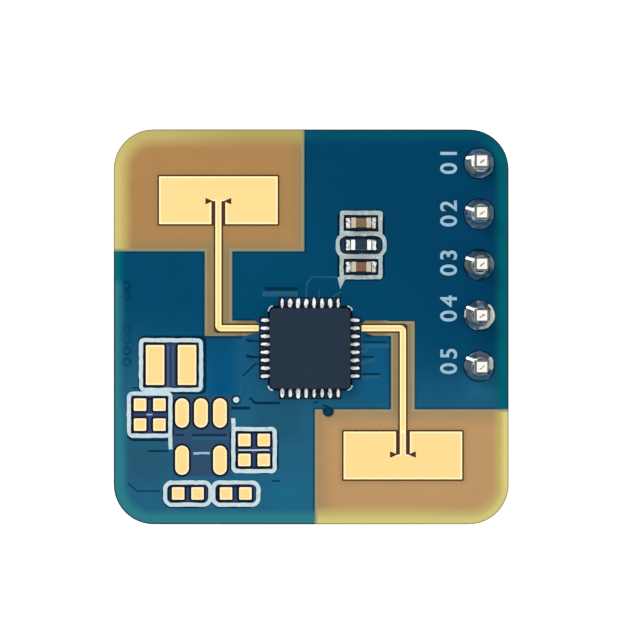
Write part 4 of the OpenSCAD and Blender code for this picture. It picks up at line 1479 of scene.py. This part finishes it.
@dataclass
class HeaderCones(Assembly):
    """Hand-soldered cones round the five header pins."""

    foot: float = 0.775
    collar: float = 0.47
    inner: float = 0.36
    height: float = 0.8
    seat: float = 0.04
    sunk: float = 0.03
    brim: float = 0.015
    lean: float = 0.05
    uneven: Point = (0.03, 0.4)
    rings: int = 8
    steps: int = 40

    def profile(self, low: float) -> list[Point]:
        """Gives the hollow profile from the foot to the tip.

        Args:
            low: Level of the copper in millimetres.

        Returns:
            Radii and levels in millimetres.
        """
        points = [(self.foot, low - self.sunk)]
        for k in range(self.rings + 1):
            a = math.radians(90 * k / self.rings)
            r = self.collar + (self.foot - self.collar) * (1 - math.sin(a)) ** 0.8
            z = low + self.seat + (self.height - self.seat) * (1 - math.cos(a)) ** 0.9
            points.append((r, z))
        return points + [(self.inner, low + self.height + self.brim)]

    def cone(self, low: float) -> Piece:
        """Spins the profile round the origin.

        Args:
            low: Level of the copper in millimetres.

        Returns:
            One even cone.
        """
        bpy.ops.mesh.primitive_plane_add(size=0.001)
        piece = bpy.context.active_object
        with editing(piece) as mesh:
            bpy.ops.mesh.delete(type="VERT")
            made = [mesh.verts.new((r * MM, 0.0, z * MM)) for r, z in self.profile(low)]
            for pair in zip(made, made[1:]):
                mesh.edges.new(pair)
            bmesh.update_edit_mesh(piece.data)
            pick()
            bpy.ops.mesh.spin(
                steps=self.steps, angle=2 * math.pi, center=(0.0, 0.0, 0.0), axis=(0.0, 0.0, 1.0)
            )
            pick()
            bpy.ops.mesh.remove_doubles(threshold=MERGE_WITHIN)
            bpy.ops.mesh.normals_make_consistent(inside=False)
        return piece

    def build(self) -> None:
        """Sets a cone round each pin, makes it uneven and joins the cones."""
        low = self.module.front + Layer.COPPER.value
        pieces = repeated(self.cone(low), PIN_COUNT)
        for i, piece in enumerate(pieces):
            lean = noise.noise_vector(Vector((i * 3.7, 1.3, 0.2))) * self.lean * MM
            for v in piece.data.vertices:
                share = (v.co.z / MM - low) / self.height
                v.co.x += lean.x * share
                v.co.y += lean.y * share
            wobble(piece, *self.uneven, 31 + i)
            along = (i - PIN_COUNT // 2) * PIN_PITCH * MM
            piece.data.transform(Matrix.Translation((0.0, along, 0.0)))
        whole = joined(pieces)
        settle(whole, "header_cones", self.finishes.cone)
        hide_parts("header_solder")


@dataclass
class PinNumbers(Assembly):
    """Printed numbers beside the pins, read from the right."""

    size: float = 1.16
    spacing: float = 1.3
    swell: float = 0.02
    thickness: float = 0.014
    left: float = 449.5
    rows: tuple[float, ...] = (161.0, 213.5, 262.5, 308.5, 361.0)

    def number(self, text: str, row: float) -> Piece:
        """Makes one upright number, turned to read upwards.

        Args:
            text: The number.
            row: Its middle's height, in picture pixels.

        Returns:
            The number as a mesh.
        """
        bpy.ops.object.text_add()
        piece = bpy.context.active_object
        font = piece.data
        font.body = text
        font.size = self.size * MM
        font.align_x = font.align_y = "CENTER"
        font.space_character = self.spacing
        font.offset = self.swell * MM
        font.extrude = self.thickness * MM
        font.resolution_u = 6
        take(piece)
        bpy.ops.object.convert(target="MESH")
        piece = bpy.context.active_object
        spot = self.module.at_pixel(self.left, row, (Layer.MASK.value + Layer.INK.value) / 2)
        piece.data.transform(Matrix.Translation(spot) @ Matrix.Rotation(math.radians(90), 4, "Z"))
        return piece

    def build(self) -> None:
        """Makes the five numbers and joins them into one piece."""
        whole = joined([self.number(f"0{i + 1}", row) for i, row in enumerate(self.rows)])
        settle(whole, "pin_numbers", self.finishes.label_ink)


@dataclass
class CoveredTraces(Assembly):
    """Traces and via tents that show as low ridges under the front mask.

    Each stroke has two ends and a width, in picture pixels.
    """

    height: float = 0.012
    flank: float = 0.3
    tent_radius: float = 0.24
    tent_rims: tuple[tuple[float, float], ...] = ((0.06, 1.0), (0.05, 0.0), (0.06, -0.9))
    dark: tuple[tuple[float, ...], ...] = (
        (255, 403, 279, 403, 2.6), (250, 398, 255, 403, 2.4), (232, 408, 249, 408, 3.0),
        (247, 340, 251, 341, 2.6), (250, 341, 262, 341, 1.8), (247, 356, 252, 357, 3.0),
        (252, 357, 262, 357, 2.0), (260, 364, 255, 364, 1.4),
        (255, 364, 243, 376, 1.4), (149, 451, 168, 451, 1.8), (176, 435, 184, 435, 1.8),
        (193, 435, 226, 435, 2.0), (128, 483, 137, 491, 1.2), (137, 491, 160, 491, 1.2),
        (272, 481, 280, 481, 1.4), (266, 288.5, 297, 288.5, 3.0), (364, 342, 386, 342, 1.6),
        (362, 357, 374, 357, 1.8), (362, 374, 380, 374, 1.8), (323, 405, 330, 408, 1.8),
        (314, 403, 318, 402, 1.4), (133, 388, 140, 388, 1.4),
    )
    pale: tuple[tuple[float, ...], ...] = (
        (312, 277, 336, 277, 1.4), (312, 277, 307, 283, 1.4), (307, 283, 306, 297, 1.4),
        (264, 294, 296, 294, 5.0), (319, 290, 319, 298, 1.2), (333, 297, 341, 292, 1.4),
        (362, 346, 388, 346, 3.4), (362, 352, 368, 350, 3.0), (362, 363, 374, 360, 3.4),
        (362, 378, 378, 377, 3.0), (193, 438.6, 228, 438.6, 2.4),
        (257, 376, 249, 386, 1.2), (249, 386, 248, 395, 1.2), (248, 395, 252, 401, 1.2),
        (242, 378, 240, 394, 1.2), (240, 394, 244, 405, 1.2),
    )
    navy: tuple[tuple[float, ...], ...] = (
        (168, 346, 168, 386, 1.6), (173, 346, 173, 386, 1.2),
    )

    def ridge(self, stroke: Sequence[float]) -> Piece:
        """Makes one low ridge with rounded flanks.

        Args:
            stroke: Its two ends and its width, in picture pixels.

        Returns:
            The ridge.
        """
        x0, y0, x1, y1, width = stroke
        start = self.module.at_pixel(x0, y0, Layer.MASK.value)
        end = self.module.at_pixel(x1, y1, Layer.MASK.value)
        span = end - start
        wide = width / PIXELS_PER_MM * MM
        bpy.ops.mesh.primitive_plane_add(size=1.0)
        piece = bpy.context.active_object
        with editing(piece):
            bpy.ops.transform.resize(value=(span.length + wide * 2 * self.flank, wide, 1.0))
            bpy.ops.mesh.inset(thickness=wide * self.flank, depth=self.height * MM)
        turn = Matrix.Rotation(math.atan2(span.y, span.x), 4, "Z")
        piece.data.transform(Matrix.Translation((start + end) / 2) @ turn)
        return piece

    def tents(self) -> Piece:
        """Makes the raised rims of the tented vias.

        Returns:
            The rims as one piece.
        """
        radius = self.tent_radius * MM
        bpy.ops.mesh.primitive_circle_add(vertices=24, radius=radius, fill_type="NGON")
        rim = bpy.context.active_object
        with editing(rim):
            for inward, share in self.tent_rims:
                bpy.ops.mesh.inset(thickness=inward * MM, depth=share * self.height * MM)
        pieces = repeated(rim, len(TENTS))
        for piece, place in zip(pieces, TENTS):
            spot = self.module.at_pixel(*place, Layer.MASK.value)
            piece.data.transform(Matrix.Translation(spot))
        return joined(pieces)

    def build(self) -> None:
        """Makes the ridges of each tone and the tents, each as one piece."""
        strokes = {"dark": self.dark, "pale": self.pale, "navy": self.navy}
        pieces = [
            settle(
                joined([self.ridge(stroke) for stroke in group]),
                f"covered_traces_{tone}",
                self.finishes.traces[tone],
            )
            for tone, group in strokes.items()
        ]
        pieces.append(settle(self.tents(), "via_tents", self.finishes.front_mask))


@dataclass
class PrintedLines(Assembly):
    """Printed outlines with the soft, uneven sides of screen printing."""

    step: float = 0.12
    waver: float = 0.03
    wave: float = 0.3
    thinner: float = -0.015
    halvings: int = 5

    def build(self) -> None:
        """Makes the outlines from their node, divides long sides and makes them waver."""
        piece = loose_copy(self.module.nodes["printed_outlines"])
        with editing(piece):
            bpy.ops.mesh.select_mode(type="EDGE")
            for _ in range(self.halvings):
                pick("DESELECT")
                edges = bmesh.from_edit_mesh(piece.data).edges
                long = [e for e in edges if e.calc_length() > 2 * self.step * MM]
                for edge in long:
                    edge.select_set(True)
                bmesh.update_edit_mesh(piece.data)
                if long:
                    bpy.ops.mesh.subdivide(number_cuts=1)
            bpy.ops.mesh.select_mode(type="VERT")
            pick()
            levels = [v.co.z for v in bmesh.from_edit_mesh(piece.data).verts]
            bpy.ops.transform.shrink_fatten(value=self.thinner * MM, use_even_offset=True)
            for vertex, level in zip(bmesh.from_edit_mesh(piece.data).verts, levels):
                vertex.co.z = level
            bmesh.update_edit_mesh(piece.data)
        wobble(piece, self.waver, self.wave, 77, flat=True)
        settle(piece, "printed_lines", self.finishes.ink)
        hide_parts("printed_outlines")


# Studio


@dataclass
class Studio:
    """Camera straight above the board, soft lamps, and a white floor."""

    module: Module
    distance: float = 102.0
    sensor: float = 36.0
    surround: float = 0.62
    floor_glow: float = 0.52
    seeing: tuple[str, ...] = ("Camera", "Glossy", "Transmission")
    lamps: tuple[tuple[str, tuple[float, float, float], float, float], ...] = (
        ("key", (-60.0, 70.0, 120.0), 70.0, 0.09),
        ("fill", (90.0, -20.0, 110.0), 90.0, 0.05),
        ("rim", (-20.0, -110.0, 60.0), 60.0, 0.03),
    )

    def camera(self) -> None:
        """Makes the camera at the photograph's framing."""
        data = bpy.data.cameras.new("camera")
        data.sensor_width = self.sensor
        data.lens = self.sensor * self.distance / (FRAME_PIXELS / PIXELS_PER_MM)
        data.clip_start = 0.005
        data.clip_end = 5.0
        camera = bpy.data.objects.new("camera", data)
        bpy.context.scene.collection.objects.link(camera)
        half = FRAME_PIXELS / 2
        spot = self.module.at_pixel(half, half, Layer.MASK.value)
        camera.location = spot + Vector((0.0, 0.0, self.distance * MM))
        bpy.context.scene.camera = camera

    def lamp(self, name: str, place: Sequence[float], size: float, power: float) -> None:
        """Adds one square soft lamp that looks at the board.

        Args:
            name: Its name.
            place: Its place from the board's middle, in millimetres.
            size: Its side in millimetres.
            power: Its power in watts.
        """
        data = bpy.data.lights.new(name, "AREA")
        data.size = size * MM
        data.energy = power
        lamp = bpy.data.objects.new(name, data)
        bpy.context.scene.collection.objects.link(lamp)
        target = self.module.at(0.0, 0.0, 0.0)
        lamp.location = target + Vector(place) * MM
        lamp.rotation_mode = "QUATERNION"
        lamp.rotation_quaternion = (target - lamp.location).to_track_quat("-Z", "Y")

    def seen(self, graph: Graph) -> Term:
        """Gives 1 for rays from the camera and for those that metal and glass send on."""
        rays = graph.node("LightPath", {}).outputs
        return reduce(Term.most, [Term(graph, rays[f"Is {kind} Ray"]) for kind in self.seeing])

    def world(self) -> None:
        """Makes an even pale surround, white where the camera sees it."""
        world = bpy.data.worlds.new("surround")
        bpy.context.scene.world = world
        graph = Graph(world)
        pale = {"Color": (0.95, 0.97, 1.0, 1.0), "Strength": self.surround}
        white = {"Color": (1.0, 1.0, 1.0, 1.0), "Strength": 1.0}
        ends = [graph.node("Background", inputs).outputs[0] for inputs in (pale, white)]
        both = graph.node("MixShader", {0: self.seen(graph), 1: ends[0], 2: ends[1]})
        graph.node("OutputWorld", {"Surface": both.outputs[0]})

    def floor(self) -> None:
        """Makes the white floor under the pins' lower ends."""
        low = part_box("header_pin_1")[0].z
        bpy.ops.mesh.primitive_plane_add(size=2.0, location=(0.0, 0.0, low))
        floor = bpy.context.active_object
        floor.name = "floor"
        made = bpy.data.materials.new("floor_white")
        graph = Graph(made)
        matte = graph.node("BsdfDiffuse", {"Color": (0.8, 0.8, 0.8, 1.0)})
        light = {"Color": (1.0, 1.0, 1.0, 1.0), "Strength": self.seen(graph) * self.floor_glow}
        glow = graph.node("Emission", light)
        both = graph.node("AddShader", {0: matte.outputs[0], 1: glow.outputs[0]})
        graph.node("OutputMaterial", {"Surface": both.outputs[0]})
        floor.data.materials.append(made)

    def build(self) -> None:
        """Sets up the camera, the lamps, the surround and the floor."""
        self.camera()
        for row in self.lamps:
            self.lamp(*row)
        self.world()
        self.floor()
        bpy.context.scene.view_settings.view_transform = "Standard"


def main() -> None:
    """Loads the frame, dresses the module and builds the studio."""
    logging.basicConfig(level=logging.INFO, format="%(name)s: %(message)s")
    noise.seed_set(NOISE_SEED)
    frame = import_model()
    module = Module(frame["nodes"])
    finishes = Finishes(module)
    Studio(module).build()
    for assembly in (
        CadParts, PlatedCopper, ChipJoints, FilterJoints, HeaderCones, PinNumbers, CoveredTraces,
        PrintedLines,
    ):
        assembly(module, finishes).build()


if __name__ == "__main__":
    main()
